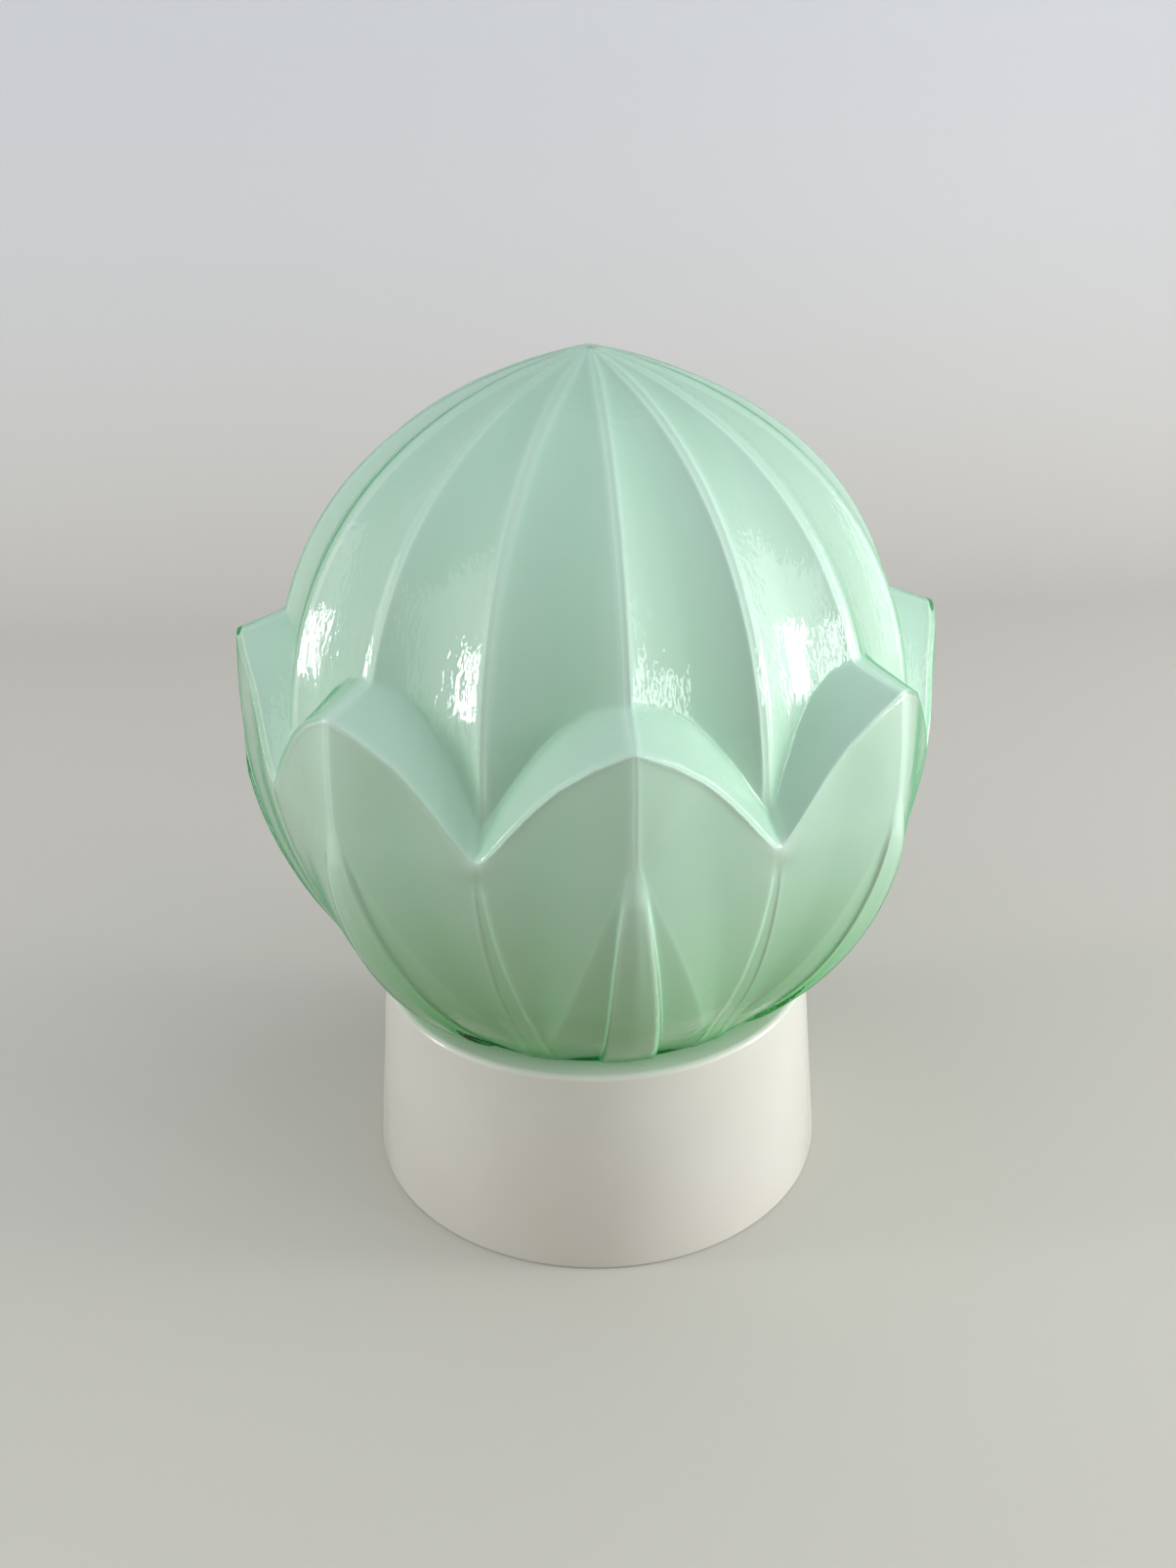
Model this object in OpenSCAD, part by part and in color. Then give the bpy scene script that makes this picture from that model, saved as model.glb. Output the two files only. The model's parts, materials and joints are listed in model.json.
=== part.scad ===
// Ceiling lamp: a lotus-shaped cased glass shade that screws into a white conical base,
// with an E27 lampholder and a bulb inside. Millimetres, +Z up, origin at the centre of
// the mounting face. The lamp stands on that face, and the front petal looks along -Y.

/* [Base] */
// Diameter of the foot, the face that meets the ceiling
base_foot_d = 110; // [106:1:130]
// Diameter of the rim round the glass
base_rim_d = 101.5; // [97:0.5:112]
// Height of the base
base_h = 49; // [46:1:60]
// Thickness of the skirt and of the inner tube
base_wall = 4; // [3:0.5:5]
// Rounding of the rim's outer edge
rim_round = 1.4; // [0.5:0.1:2]
// Height of the deck's underside above the mounting face
deck_z = 8; // [7:0.5:10]
// Thickness of the deck that carries the lampholder
deck_t = 4; // [3:0.5:5]
// Distance between the two ceiling screws
screw_spacing = 58; // [56:1:60]
// Hole for a ceiling screw
screw_hole_d = 5; // [4:0.5:5.5]
// Bore of the cable grommet
cable_d = 7.2; // [6:0.2:7.6]

/* [Glass] */
// Outer diameter of the screw neck, over its bead
neck_d = 84.5; // [82:0.5:87]
// Length of the neck below the rim
neck_len = 16; // [15:0.5:18]
// Height of the glass above the rim
shade_h = 142.5; // [135:1:155]
// Largest width, over the keels of two petals
petal_d = 154.4; // [148:1:170]
// Width over the tips of two petals
petal_tip_d = 152.2; // [147:1:168]
// Height of the petal tips above the rim
petal_tip_h = 86.2; // [82:1:90]
// Height of the widest place of a keel above the rim
petal_wide_h = 67; // [60:1:72]
// Width over two valleys between petals
valley_d = 147; // [142:1:152]
// Height of the outer lip in a valley above the rim
valley_lip_h = 61; // [57:1:63]
// Height of the inner corner in a valley above the rim
valley_corner_h = 66.5; // [65.5:0.5:69]
// Height of the ledge's inner corner above a keel
ledge_h = 89.8; // [88:1:96]
// Largest width of the dome, over two ridges
dome_d = 138; // [132:1:140]
// Number of petals
petal_count = 8; // [6:1:10]
// Depth of a petal's hollow face
petal_hollow = 2.4; // [1:0.2:3]
// Depth of a dome flute, as a share of the dome's radius
flute_share = 0.04; // [0.02:0.01:0.06]
// Rise of the lancet at the foot of a keel
lancet_rise = 3.2; // [1:0.2:3.4]
// Thickness of the glass
glass_wall = 3.5; // [2.5:0.5:4]
// Thickness of the neck's wall
neck_wall = 4; // [3:0.5:4.5]

/* [Screw neck] */
// Pitch of the glass thread
neck_pitch = 6; // [5.5:0.25:7]
// Height of the glass bead
bead_h = 2.2; // [1.6:0.2:2.4]
// Width of the glass bead
bead_w = 3; // [2.4:0.2:3.2]
// Turns of the bead, and of the rib in the base
thread_turns = 1.2; // [1:0.1:1.3]
// Thickness of the neck seal
seal_t = 1.5; // [1:0.25:2]

/* [Lampholder] */
// Diameter of the porcelain barrel
barrel_d = 38; // [36:0.5:39]
// Height of the two ears
ear_h = 8; // [7:0.5:9]
// Width of an ear
ear_w = 24; // [20:1:25]
// Diameter of a holder screw
holder_screw_d = 3.8; // [3:0.2:4]
// Travel of the sprung contact
contact_travel = 1.2; // [0.6:0.2:1.6]

/* [Bulb] */
// Diameter of the bulb
bulb_d = 55; // [45:1:60]
// Length of the bulb, from its contact to its tip
bulb_len = 98; // [92:1:110]
// Outer diameter of the cap's thread
cap_d = 26.2; // [26:0.1:26.4]
// Pitch of the cap's thread
cap_pitch = 3.629; // [3.5:0.01:3.8]
// Depth of the cap's thread
cap_thread = 1.1; // [0.8:0.1:1.2]
// Height of the threaded shell of the cap
cap_h = 23; // [22:0.5:25]
// Number of LED filaments
filament_count = 4; // [3:1:6]

/* [Clearances] */
// Gap between pieces that turn or slide past each other
run_gap = 0.3; // [0.2:0.05:0.4]
// Gap round a piece that sits in a fixed pocket
fit_gap = 0.2; // [0.1:0.05:0.3]
// Radial gap between a thread's crest and the opposite root
thread_gap = 0.6; // [0.5:0.1:0.8]
// Radial gap between the glass bead and the bore of the base
bore_gap = 1.75; // [1:0.25:2]
// Gap between the lampholder's ears and the well round them
ear_gap = 1; // [0.5:0.1:1.5]

/* [Hidden] */
$fn = 96;
// A cut reaches this far past the face that it opens
over = 1;

// Radii of the neck's wall, of its bead, of the bore round it and of the rib in that bore
bead_r = neck_d / 2;
neck_r = bead_r - bead_h;
neck_in_r = neck_r - neck_wall;
bore_r = bead_r + bore_gap;
rib_r = neck_r + thread_gap;
rib_w = 2.4;

// Levels of the base
neck_z = base_h - neck_len;
seat_z = neck_z - seal_t;
deck_top = deck_z + deck_t;
well_step = 0.5;
well_r = neck_in_r + well_step;

// Levels of the glass
shoulder_gap = 1;
shoulder_z = base_h + shoulder_gap;
tip_z = base_h + shade_h;
keel_wide_z = base_h + petal_wide_h;
keel_tip_z = base_h + petal_tip_h;
valley_z = base_h + valley_lip_h;
corner_z = base_h + valley_corner_h;
ledge_z = base_h + ledge_h;
keel_r = petal_d / 2;
keel_tip_r = petal_tip_d / 2;
valley_r = valley_d / 2;
valley_foot_rise = 3.4;
valley_foot_r = neck_r + valley_foot_rise;
half_petal = 180 / petal_count;

// Dome ridge: a cubic curve in radius and height, from the widest ring to the tip
dome_skirt = 2.5;
dome_low_z = corner_z - dome_skirt;
dome_tall = tip_z - dome_low_z;
dome_curve = [
  [dome_d / 2, dome_low_z], [dome_d / 2, dome_low_z + 0.615 * dome_tall],
  [0.55 * dome_d / 2, tip_z - 0.103 * dome_tall], [0, tip_z]
];

// Lancet and wedge at the foot of a petal, as half angles that open downwards
split_drop = 20.5;
split_z = keel_tip_z - split_drop;
wedge_lead = 1.4;
lancet_open = 0.11;
wedge_open = 0.29;
valley_open = 0.13;
lancet_most = 0.28 * half_petal;
wedge_most = 0.58 * half_petal;
valley_most = 0.31 * half_petal;
lancet_least = 0.5;
wedge_least = 1.1;
edge_rise = 0.6;

// Lampholder levels, from the deck up
strap_t = 0.8;
strap_w = 5;
ear_top = deck_top + ear_h;
ear_r = well_r - ear_gap;
ear_edge = 0.5;
foot_ring = 3;
floor_rise = 2;
floor_z = ear_top + floor_rise;
floor_t = 2.2;
spring_r = 3;
wire_d = 0.6;
spring_turns = 5;
button_r = 2.3;
collar_r = 3.6;
collar_t = 1.2;
collar_z = floor_z - floor_t - fit_gap - collar_t;
spring_z = deck_top + strap_t;
button_proud = 0.8;
button_z = floor_z + button_proud + contact_travel;
sleeve_rise = 4;
sleeve_z = floor_z + sleeve_rise;
sleeve_t = 0.8;
sleeve_r = cap_d / 2 + run_gap + sleeve_t;
sleeve_shelf = 1.2;
sleeve_len = 19.5;
barrel_r = barrel_d / 2;
barrel_lip = 1;
barrel_z = sleeve_z + sleeve_len + barrel_lip;

// Terminals
block_gap = 1.5;
block_y = barrel_r + block_gap;
block_d = 5;
block_w = 7;
block_h = 7;
block_top = ear_top + block_h;
clamp_y = block_y + block_d / 2;
clamp_r = 1.5;
clamp_head_r = 2.3;
clamp_head_h = 1.8;
wire_hole_r = 1.5;
wire_hole_rise = 2.4;
clamp_len = block_h - wire_hole_rise - wire_hole_r;

// Holder fixings
holder_r = holder_screw_d / 2;
washer_lip = 2.1;
washer_r = holder_r + washer_lip;
washer_t = 0.8;
head_lip = 1.6;
head_r = holder_r + head_lip;
head_h = 2.4;
nut_lip = 2.1;
nut_r = holder_r + nut_lip;
nut_h = 3.2;
holder_y = ear_r - ear_edge - washer_r;

// Bulb levels
contact_z = button_z + run_gap;
contact_t = 1.5;
contact_r = 4.5;
contact_round = 1;
insulator_z = contact_z + contact_t;
insulator_h = 3;
insulator_lap = 1;
cap_z = insulator_z + insulator_h - insulator_lap;
cap_wall = 0.5;
cap_in_r = cap_d / 2 - cap_thread - cap_wall;
insulator_r = cap_in_r - run_gap;
cap_top = cap_z + cap_h;
bulb_r = bulb_d / 2;
bulb_wall = 0.8;
bulb_tip = contact_z + bulb_len;
bulb_mid = bulb_tip - bulb_r;
envelope_lap = 5;
envelope_z = cap_top - envelope_lap;
envelope_r = cap_in_r - fit_gap;
// The ball ends this many degrees below its middle, and a curve runs down to the neck
ball_leave = -38;
neck_bulge = 1.5;
neck_pull = 10;
ball_pull = 15;
stem_drop = 8;
stem_top = bulb_mid - stem_drop;
stem_tube_r = 3.4;
stem_foot = 1;
stem_flare = 10;
stem_rod_r = 1.3;
stem_rod_len = 14;
filament_len = 26;
filament_r = 1;
filament_ring_r = 9;
lead_r = 0.5;

// A point at turn a from the front, at radius r and height z
function at(a, r, z) = [r * sin(a), -r * cos(a), z];

function mix(a, b, t) = a + (b - a) * t;
function clamp(v, lo, hi) = min(max(v, lo), hi);

// Triangles between rings of equal count; wrap joins the last ring to the first
function skin(rings, cols, wrap = false) = [
  for (i = [0 : rings - (wrap ? 1 : 2)], j = [0 : cols - 1])
    let (k = (j + 1) % cols, n = (i + 1) % rings)
    each [
      [i * cols + j, n * cols + j, n * cols + k],
      [i * cols + j, n * cols + k, i * cols + k]
    ]
];

// A closed shell that rings of points go round
module shell(rings) {
  cols = len(rings[0]);
  polyhedron(points = [for (ring = rings) each ring], faces = skin(len(rings), cols, true));
}

// Height of the lip and of the ledge's corner, as shares, from the keel (0) to the valley (1)
function lip_arch(u) = 1 - 0.3 * u - 0.7 * u * u;
function corner_arch(u) = 1 - 0.05 * u - 0.95 * pow(u, 2.2);
function lip_z(u) = mix(valley_z, keel_tip_z, lip_arch(u));
function ledge_corner_z(u) = mix(corner_z, ledge_z, corner_arch(u));

// Radius of a keel and of a valley at height z
function belly(foot, wide, wide_z, bend, z) =
  foot + (wide - foot) * pow(max(0, 1 - pow((wide_z - z) / (wide_z - shoulder_z), 2)), bend);
function keel_at(z) =
  z > keel_wide_z
    ? keel_r - (keel_r - keel_tip_r) * pow((z - keel_wide_z) / (keel_tip_z - keel_wide_z), 2)
    : belly(neck_r, keel_r, keel_wide_z, 0.79, z);
function valley_at(z) = belly(valley_foot_r, valley_r, valley_z, 0.82, min(z, valley_z));

// Half angles of the lancet, of the wedge and of the valley's facet at height z
function lancet_half(z) = clamp(lancet_open * (split_z - z), lancet_least, lancet_most);
function wedge_half(z) = clamp(wedge_open * (split_z + wedge_lead - z), wedge_least, wedge_most);
function valley_edge(z) = half_petal - clamp(valley_open * (valley_z - z), lancet_least, valley_most);
function growth(z) = clamp((split_z - z) / (split_z - shoulder_z), 0, 1);

// How far the petal's face stands off the line from keel to valley, at half angle h
function relief(h, z) =
  let (
    g = growth(z),
    edge = edge_rise * min(1, 3 * g),
    rise = lancet_rise * g * g,
    c = lancet_half(z),
    w = wedge_half(z),
    v = valley_edge(z),
    s = (h - w) / (v - w)
  )
  h < c ? mix(rise, -edge, pow(h / c, 2))
    : h < w ? mix(-edge, edge, (h - c) / (w - c))
    : h < v ? edge - petal_hollow * min(1, (v - w) / half_petal) * 4 * s * (1 - s)
    : edge * (half_petal - h) / (half_petal - v);
function petal_at(h, z) =
  mix(keel_at(z), valley_at(z), pow(h / half_petal, 1 + 3 * pow(growth(z), 2))) + relief(h, z);

// Half angles of the columns: evenly spaced, or along the lancet, wedge and valley edges
half_cols = 5;
function even_half() = [for (j = [0 : half_cols]) half_petal * j / half_cols];
function edge_half(z) =
  let (w = wedge_half(z), v = valley_edge(z))
  [0, lancet_half(z), w, (w + v) / 2, v, half_petal];
function ring_turns(half) = [
  for (k = [0 : petal_count - 1])
    each [
      for (j = [1 - half_cols : half_cols])
        2 * half_petal * k + sign(j) * half[abs(j)]
    ]
];
// Half angle, from the nearest keel, of a turn round the glass
function half_of(a) = let (m = (a + 360) % (2 * half_petal)) min(m, 2 * half_petal - m);

// Dome: point on its ridge curve, and the share of the curve at a height
function bezier(p, t) =
  pow(1 - t, 3) * p[0] + 3 * pow(1 - t, 2) * t * p[1] + 3 * (1 - t) * t * t * p[2] + pow(t, 3) * p[3];
function dome_share(z, lo = 0, hi = 1, steps = 24) =
  let (m = (lo + hi) / 2)
  steps == 0 ? m
    : bezier(dome_curve, m)[1] < z ? dome_share(z, m, hi, steps - 1)
    : dome_share(z, lo, m, steps - 1);
function flute(h) = let (v = h / half_petal) 1 - flute_share * 4 * v * (1 - v);

// Helical bead of the neck: its centre line starts at bead_z and climbs one pitch a turn
bead_rise = 2.6;
bead_z = neck_z + bead_rise;
bead_fade = 0.06;
function bead_bump(a, z) =
  let (
    turn = round((z - bead_z) / neck_pitch - a / 360) + a / 360,
    off = abs(z - bead_z - neck_pitch * turn) / (bead_w / 2),
    fade = clamp(min(turn, thread_turns - turn) / bead_fade, 0, 1)
  )
  off < 1 ? fade * bead_h * (1 + cos(180 * off)) / 2 : 0;

// Rings of the shade's outer skin, from the neck's lower end to just below the tip
neck_rows = 16;
petal_rows = 9;
arch_rows = 3;
dome_steps = [0, 0.1, 0.22, 0.36, 0.51, 0.66, 0.79, 0.89, 0.96];
wedge_top_drop = 6;
wedge_top_z = valley_z - wedge_top_drop;
even_turns = ring_turns(even_half());

function neck_rings() = [
  for (i = [0 : neck_rows])
    let (z = mix(neck_z, base_h - shoulder_gap / 2, i / neck_rows))
    [for (a = even_turns) at(a, neck_r + bead_bump((a + 360) % 360, z), z)]
];
function belly_rings() = [
  for (i = [0 : petal_rows])
    let (z = mix(shoulder_z, wedge_top_z, pow(i / petal_rows, 1.4)))
    [for (a = ring_turns(edge_half(z))) at(a, petal_at(half_of(a), z), z)]
];
function arch_rings() = [
  for (i = [1 : arch_rows])
    let (
      s = i / arch_rows,
      spread = clamp((s - 1 / arch_rows) / (1 - 1 / arch_rows), 0, 1),
      even = even_half(),
      edge = edge_half(mix(wedge_top_z, keel_tip_z, s)),
      half = [for (j = [0 : half_cols]) mix(edge[j], even[j], spread)]
    )
    [
      for (a = ring_turns(half))
        let (h = half_of(a), z = mix(wedge_top_z, lip_z(h / half_petal), s))
        at(a, petal_at(h, z), z)
    ]
];
function dome_rings() = [
  for (s = dome_steps)
    [
      for (a = even_turns)
        let (
          h = half_of(a),
          t = mix(dome_share(ledge_corner_z(h / half_petal)), 1, s),
          p = bezier(dome_curve, t)
        )
        at(a, p[0] * flute(h), p[1])
    ]
];

// Rings of the inner skin, from just below the tip down to the neck's lower end
inner_steps = [0.92, 0.8, 0.64, 0.46, 0.28, 0.12, 0.02];
inner_belly = [1, 0.72, 0.44, 0.22, 0.08];
inner_tip_drop = 1.6;
function inner_dome(t) =
  let (p = bezier(dome_curve, t), q = bezier(dome_curve, t + 0.01), d = q - p)
  [p[0] * (1 - flute_share) - glass_wall * d[1] / norm(d), p[1] + glass_wall * d[0] / norm(d)];
function inner_rings() =
  let (
    dome = [for (t = inner_steps) inner_dome(t)],
    low = [
      for (s = inner_belly)
        let (z = mix(shoulder_z + glass_wall, wedge_top_z, s))
        [max(neck_in_r, valley_at(z) - petal_hollow - glass_wall), z]
    ],
    neck = [[neck_in_r, shoulder_z + shoulder_gap / 2], [neck_in_r, neck_z]]
  )
  [for (p = concat(dome, low, neck)) [for (a = even_turns) at(a, p[0], p[1])]];

module glass_shade() {
  outer = concat(neck_rings(), belly_rings(), arch_rings(), dome_rings());
  inner = inner_rings();
  cols = len(even_turns);
  outer_n = len(outer) * cols;
  all_n = outer_n + len(inner) * cols;
  inner_tip = [0, 0, tip_z - inner_tip_drop * glass_wall];
  last = outer_n - cols;
  skin_out = skin(len(outer), cols);
  skin_in = [for (f = skin(len(inner), cols)) [for (i = f) i + outer_n]];
  cap_out = [for (j = [0 : cols - 1]) [last + j, all_n, last + (j + 1) % cols]];
  cap_in = [for (j = [0 : cols - 1]) [all_n + 1, outer_n + j, outer_n + (j + 1) % cols]];
  foot = [
    for (j = [0 : cols - 1])
      let (k = (j + 1) % cols, m = all_n - cols)
      each [[j, k, m + k], [j, m + k, m + j]]
  ];
  color("#aed0bc")
    polyhedron(
      points = concat([for (r = outer) each r], [for (r = inner) each r], [[0, 0, tip_z], inner_tip]),
      faces = concat(skin_out, cap_out, skin_in, cap_in, foot)
    );
}

// Points of an arc, for a turned outline
function arc(cx, cy, r, from, to, steps = 6) =
  [for (i = [0 : steps]) let (a = mix(from, to, i / steps)) [cx + r * cos(a), cy + r * sin(a)]];

// Rib of the inside thread: a helix of trapezium sections, half a pitch above the bead
rib_steps = 40;
module rib() {
  half_root = rib_w / 2;
  half_crest = rib_w / 4;
  root_r = bore_r + over;
  count = round(thread_turns * rib_steps);
  points = [
    for (i = [0 : count])
      let (a = 360 * i / rib_steps, z = bead_z + neck_pitch * (0.5 + i / rib_steps))
      each [
        at(a, root_r, z - half_root), at(a, rib_r, z - half_crest),
        at(a, rib_r, z + half_crest), at(a, root_r, z + half_root)
      ]
  ];
  last = 4 * count;
  ends = [[0, 1, 2], [0, 2, 3], [last + 2, last + 1, last], [last + 3, last + 2, last]];
  polyhedron(points = points, faces = concat(skin(count + 1, 4), ends));
}

boss_wall = 2.5;
boss_r = screw_hole_d / 2 + boss_wall;
grommet_turn = 135;
grommet_r = cable_d / 2;
grommet_wall = 1.4;
grommet_lip = 1.3;
grommet_hole_r = grommet_r + grommet_wall;
grommet_flange_r = grommet_hole_r + grommet_lip;
grommet_flange_t = 2;
grommet_gap = 0.8;
grommet_place = well_r - grommet_flange_r - grommet_gap;

module base_housing() {
  foot_r = base_foot_d / 2;
  rim_r = base_rim_d / 2;
  lean = (foot_r - rim_r) / base_h;
  hollow_z = seat_z - base_wall;
  color("#efede8")
    difference() {
      union() {
        rotate_extrude()
          polygon(concat(
            [[0, deck_z], [well_r + base_wall, deck_z], [well_r + base_wall, hollow_z]],
            [[foot_r - lean * hollow_z - base_wall, hollow_z], [foot_r - base_wall, 0], [foot_r, 0]],
            arc(rim_r - rim_round, base_h - rim_round, rim_round, 0, 90),
            [[bore_r, base_h], [bore_r, seat_z], [well_r, seat_z], [well_r, deck_top], [0, deck_top]]
          ));
        rib();
        for (x = [-1, 1])
          translate([x * screw_spacing / 2, 0, 0]) cylinder(r = boss_r, h = deck_z + over);
      }
      for (x = [-1, 1])
        translate([x * screw_spacing / 2, 0, -over]) cylinder(d = screw_hole_d, h = deck_top + 2 * over);
      for (y = [-1, 1])
        translate([0, y * holder_y, deck_z - over])
          cylinder(r = holder_r + fit_gap, h = deck_t + 2 * over);
      translate(at(grommet_turn, grommet_place, deck_z - over))
        cylinder(r = grommet_hole_r, h = deck_t + 2 * over);
    }
}

module cable_grommet() {
  color("#2b2b2b")
    translate(at(grommet_turn, grommet_place, 0))
      rotate_extrude()
        polygon([
          [grommet_r, deck_z - grommet_flange_t], [grommet_flange_r, deck_z - grommet_flange_t],
          [grommet_flange_r, deck_z], [grommet_hole_r - fit_gap / 2, deck_z],
          [grommet_hole_r - fit_gap / 2, deck_top], [grommet_flange_r, deck_top],
          [grommet_flange_r, deck_top + grommet_flange_t], [grommet_r, deck_top + grommet_flange_t]
        ]);
}

seal_lip_t = 0.8;
seal_lip_h = 4;
module neck_seal() {
  lip_r = neck_in_r - run_gap;
  color("#3a3a38")
    rotate_extrude()
      polygon([
        [lip_r - seal_lip_t, seat_z], [neck_r, seat_z], [neck_r, neck_z],
        [lip_r, neck_z], [lip_r, neck_z + seal_lip_h], [lip_r - seal_lip_t, neck_z + seal_lip_h]
      ]);
}

spring_bore_r = collar_r + run_gap;
channel_w = strap_w + 2 * fit_gap;
strap_out_y = block_y + block_d + strap_t;
module lampholder_body() {
  color("#f4f1ea")
    difference() {
      union() {
        translate([0, 0, deck_top]) cylinder(r = barrel_r + foot_ring, h = ear_h);
        intersection() {
          translate([0, 0, deck_top]) cylinder(r = ear_r, h = ear_h);
          translate([-ear_w / 2, -ear_r, deck_top]) cube([ear_w, 2 * ear_r, ear_h]);
        }
        translate([0, 0, deck_top]) cylinder(r = barrel_r, h = barrel_z - deck_top);
      }
      translate([0, 0, sleeve_z]) cylinder(r = sleeve_r + fit_gap, h = barrel_z - sleeve_z + over);
      translate([0, 0, floor_z]) cylinder(r = sleeve_r - sleeve_shelf, h = barrel_z - floor_z);
      translate([0, 0, deck_top - over])
        cylinder(r = button_r + run_gap, h = floor_z - deck_top + 2 * over);
      translate([0, 0, deck_top - over])
        cylinder(r = spring_bore_r, h = floor_z - floor_t - deck_top + over);
      for (y = [-1, 1])
        translate([0, y * holder_y, deck_top - over])
          cylinder(r = holder_r + fit_gap, h = ear_h + 2 * over);
      translate([-channel_w / 2, -strap_out_y - fit_gap, deck_top - over])
        cube([channel_w, strap_out_y + spring_bore_r, strap_t + fit_gap + over]);
      translate([-channel_w / 2, -strap_out_y - fit_gap, deck_top - over])
        cube([channel_w, strap_t + 2 * fit_gap, ear_h + 2 * over]);
      translate([-channel_w / 2, 0, block_top - fit_gap])
        cube([channel_w, barrel_r + over, strap_t + 2 * fit_gap]);
    }
}

// Radius of a right-hand round thread at turn a and height z
function thread_at(r, depth, a, z) = r - depth / 2 + depth / 2 * cos(360 * z / cap_pitch - a);
thread_cols = 24;
thread_rows_a_turn = 5;
function thread_rings(r, depth, low, high) =
  let (rows = ceil(abs(high - low) / cap_pitch * thread_rows_a_turn))
  [
    for (i = [0 : rows])
      let (z = mix(low, high, i / rows))
      [for (j = [0 : thread_cols - 1]) let (a = 360 * j / thread_cols) at(a, thread_at(r, depth, a, z), z)]
  ];
function plain_ring(r, z) = [for (j = [0 : thread_cols - 1]) at(360 * j / thread_cols, r, z)];

module thread_sleeve() {
  top = sleeve_z + sleeve_len;
  color("#c9a24a")
    shell(concat(
      [plain_ring(sleeve_r, sleeve_z), plain_ring(sleeve_r, top)],
      thread_rings(cap_d / 2 + run_gap, cap_thread, top, sleeve_z)
    ));
}

module centre_contact() {
  color("#d0a848")
    rotate_extrude()
      polygon(concat(
        [[0, collar_z], [collar_r, collar_z]],
        [[collar_r, collar_z + collar_t], [button_r, collar_z + collar_t]],
        arc(button_r - button_proud, button_z - button_proud, button_proud, 0, 90),
        [[0, button_z]]
      ));
}

// Coil spring: a wire swept along a helix, its lowest and highest turns inside its seats
module contact_spring() {
  low = spring_z + wire_d / 2;
  high = collar_z - wire_d / 2;
  rings_a_turn = 12;
  sides = 6;
  count = spring_turns * rings_a_turn;
  points = [
    for (i = [0 : count])
      let (a = 360 * i / rings_a_turn, z = mix(low, high, i / count))
      each [
        for (s = [0 : sides - 1])
          let (b = -360 * s / sides)
          at(a, spring_r + wire_d / 2 * cos(b), z + wire_d / 2 * sin(b))
      ]
  ];
  first = [for (s = [1 : sides - 2]) [0, s, s + 1]];
  final = [for (s = [1 : sides - 2]) [count * sides, count * sides + s + 1, count * sides + s]];
  color("#b9bcc0") polyhedron(points = points, faces = concat(skin(count + 1, sides), first, final));
}

module live_strap() {
  top_y = block_y + fit_gap;
  color("#c9a24a") {
    translate([-strap_w / 2, -strap_out_y, deck_top])
      cube([strap_w, strap_out_y + spring_r + wire_d, strap_t]);
    translate([-strap_w / 2, -strap_out_y, deck_top])
      cube([strap_w, strap_t, block_top + strap_t - deck_top]);
    difference() {
      translate([-strap_w / 2, -strap_out_y, block_top]) cube([strap_w, strap_out_y - top_y, strap_t]);
      translate([0, -clamp_y, block_top - over]) cylinder(r = clamp_r + fit_gap, h = strap_t + 2 * over);
    }
  }
}

module neutral_strap() {
  color("#c9a24a")
    difference() {
      translate([-strap_w / 2, sleeve_r + fit_gap, block_top])
        cube([strap_w, block_y + block_d - sleeve_r - fit_gap, strap_t]);
      translate([0, clamp_y, block_top - over]) cylinder(r = clamp_r + fit_gap, h = strap_t + 2 * over);
    }
}

module terminal_block() {
  difference() {
    translate([-block_w / 2, block_y, ear_top]) cube([block_w, block_d, block_h]);
    translate([0, clamp_y, ear_top + wire_hole_rise]) cylinder(r = clamp_r + fit_gap, h = block_h);
    translate([-block_w, clamp_y, ear_top + wire_hole_rise])
      rotate([0, 90, 0]) cylinder(r = wire_hole_r, h = 2 * block_w);
  }
}

module live_terminal() {
  color("#b8923e") mirror([0, 1, 0]) terminal_block();
}

module neutral_terminal() {
  color("#b8923e") terminal_block();
}

// Slotted cheese-head screw along Z, with the underside of its head at z
module screw(r, len, wide_r, high, z) {
  slot_w = 0.35 * wide_r;
  difference() {
    union() {
      translate([0, 0, z - len]) cylinder(r = r, h = len + over / 2);
      translate([0, 0, z]) cylinder(r = wide_r, h = high);
    }
    translate([-wide_r - over, -slot_w / 2, z + high / 2]) cube([2 * (wide_r + over), slot_w, high]);
  }
}

module terminal_screws() {
  color("#c4c6c8")
    for (y = [-1, 1])
      translate([0, y * clamp_y, 0])
        screw(clamp_r, clamp_len, clamp_head_r, clamp_head_h, block_top + strap_t);
}

module holder_screws() {
  reach = washer_t + ear_h + deck_t + nut_h;
  color("#c4c6c8")
    for (y = [-1, 1])
      translate([0, y * holder_y, 0]) screw(holder_r, reach, head_r, head_h, ear_top + washer_t);
}

module holder_washers() {
  color("#7a3b2a")
    for (y = [-1, 1])
      translate([0, y * holder_y, ear_top])
        difference() {
          cylinder(r = washer_r, h = washer_t);
          translate([0, 0, -over]) cylinder(r = holder_r + fit_gap, h = washer_t + 2 * over);
        }
}

module holder_nuts() {
  color("#c4c6c8")
    for (y = [-1, 1])
      translate([0, y * holder_y, deck_z - nut_h])
        difference() {
          cylinder(r = nut_r, h = nut_h, $fn = 6);
          translate([0, 0, -over]) cylinder(r = holder_r + fit_gap / 2, h = nut_h + 2 * over);
        }
}

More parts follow.
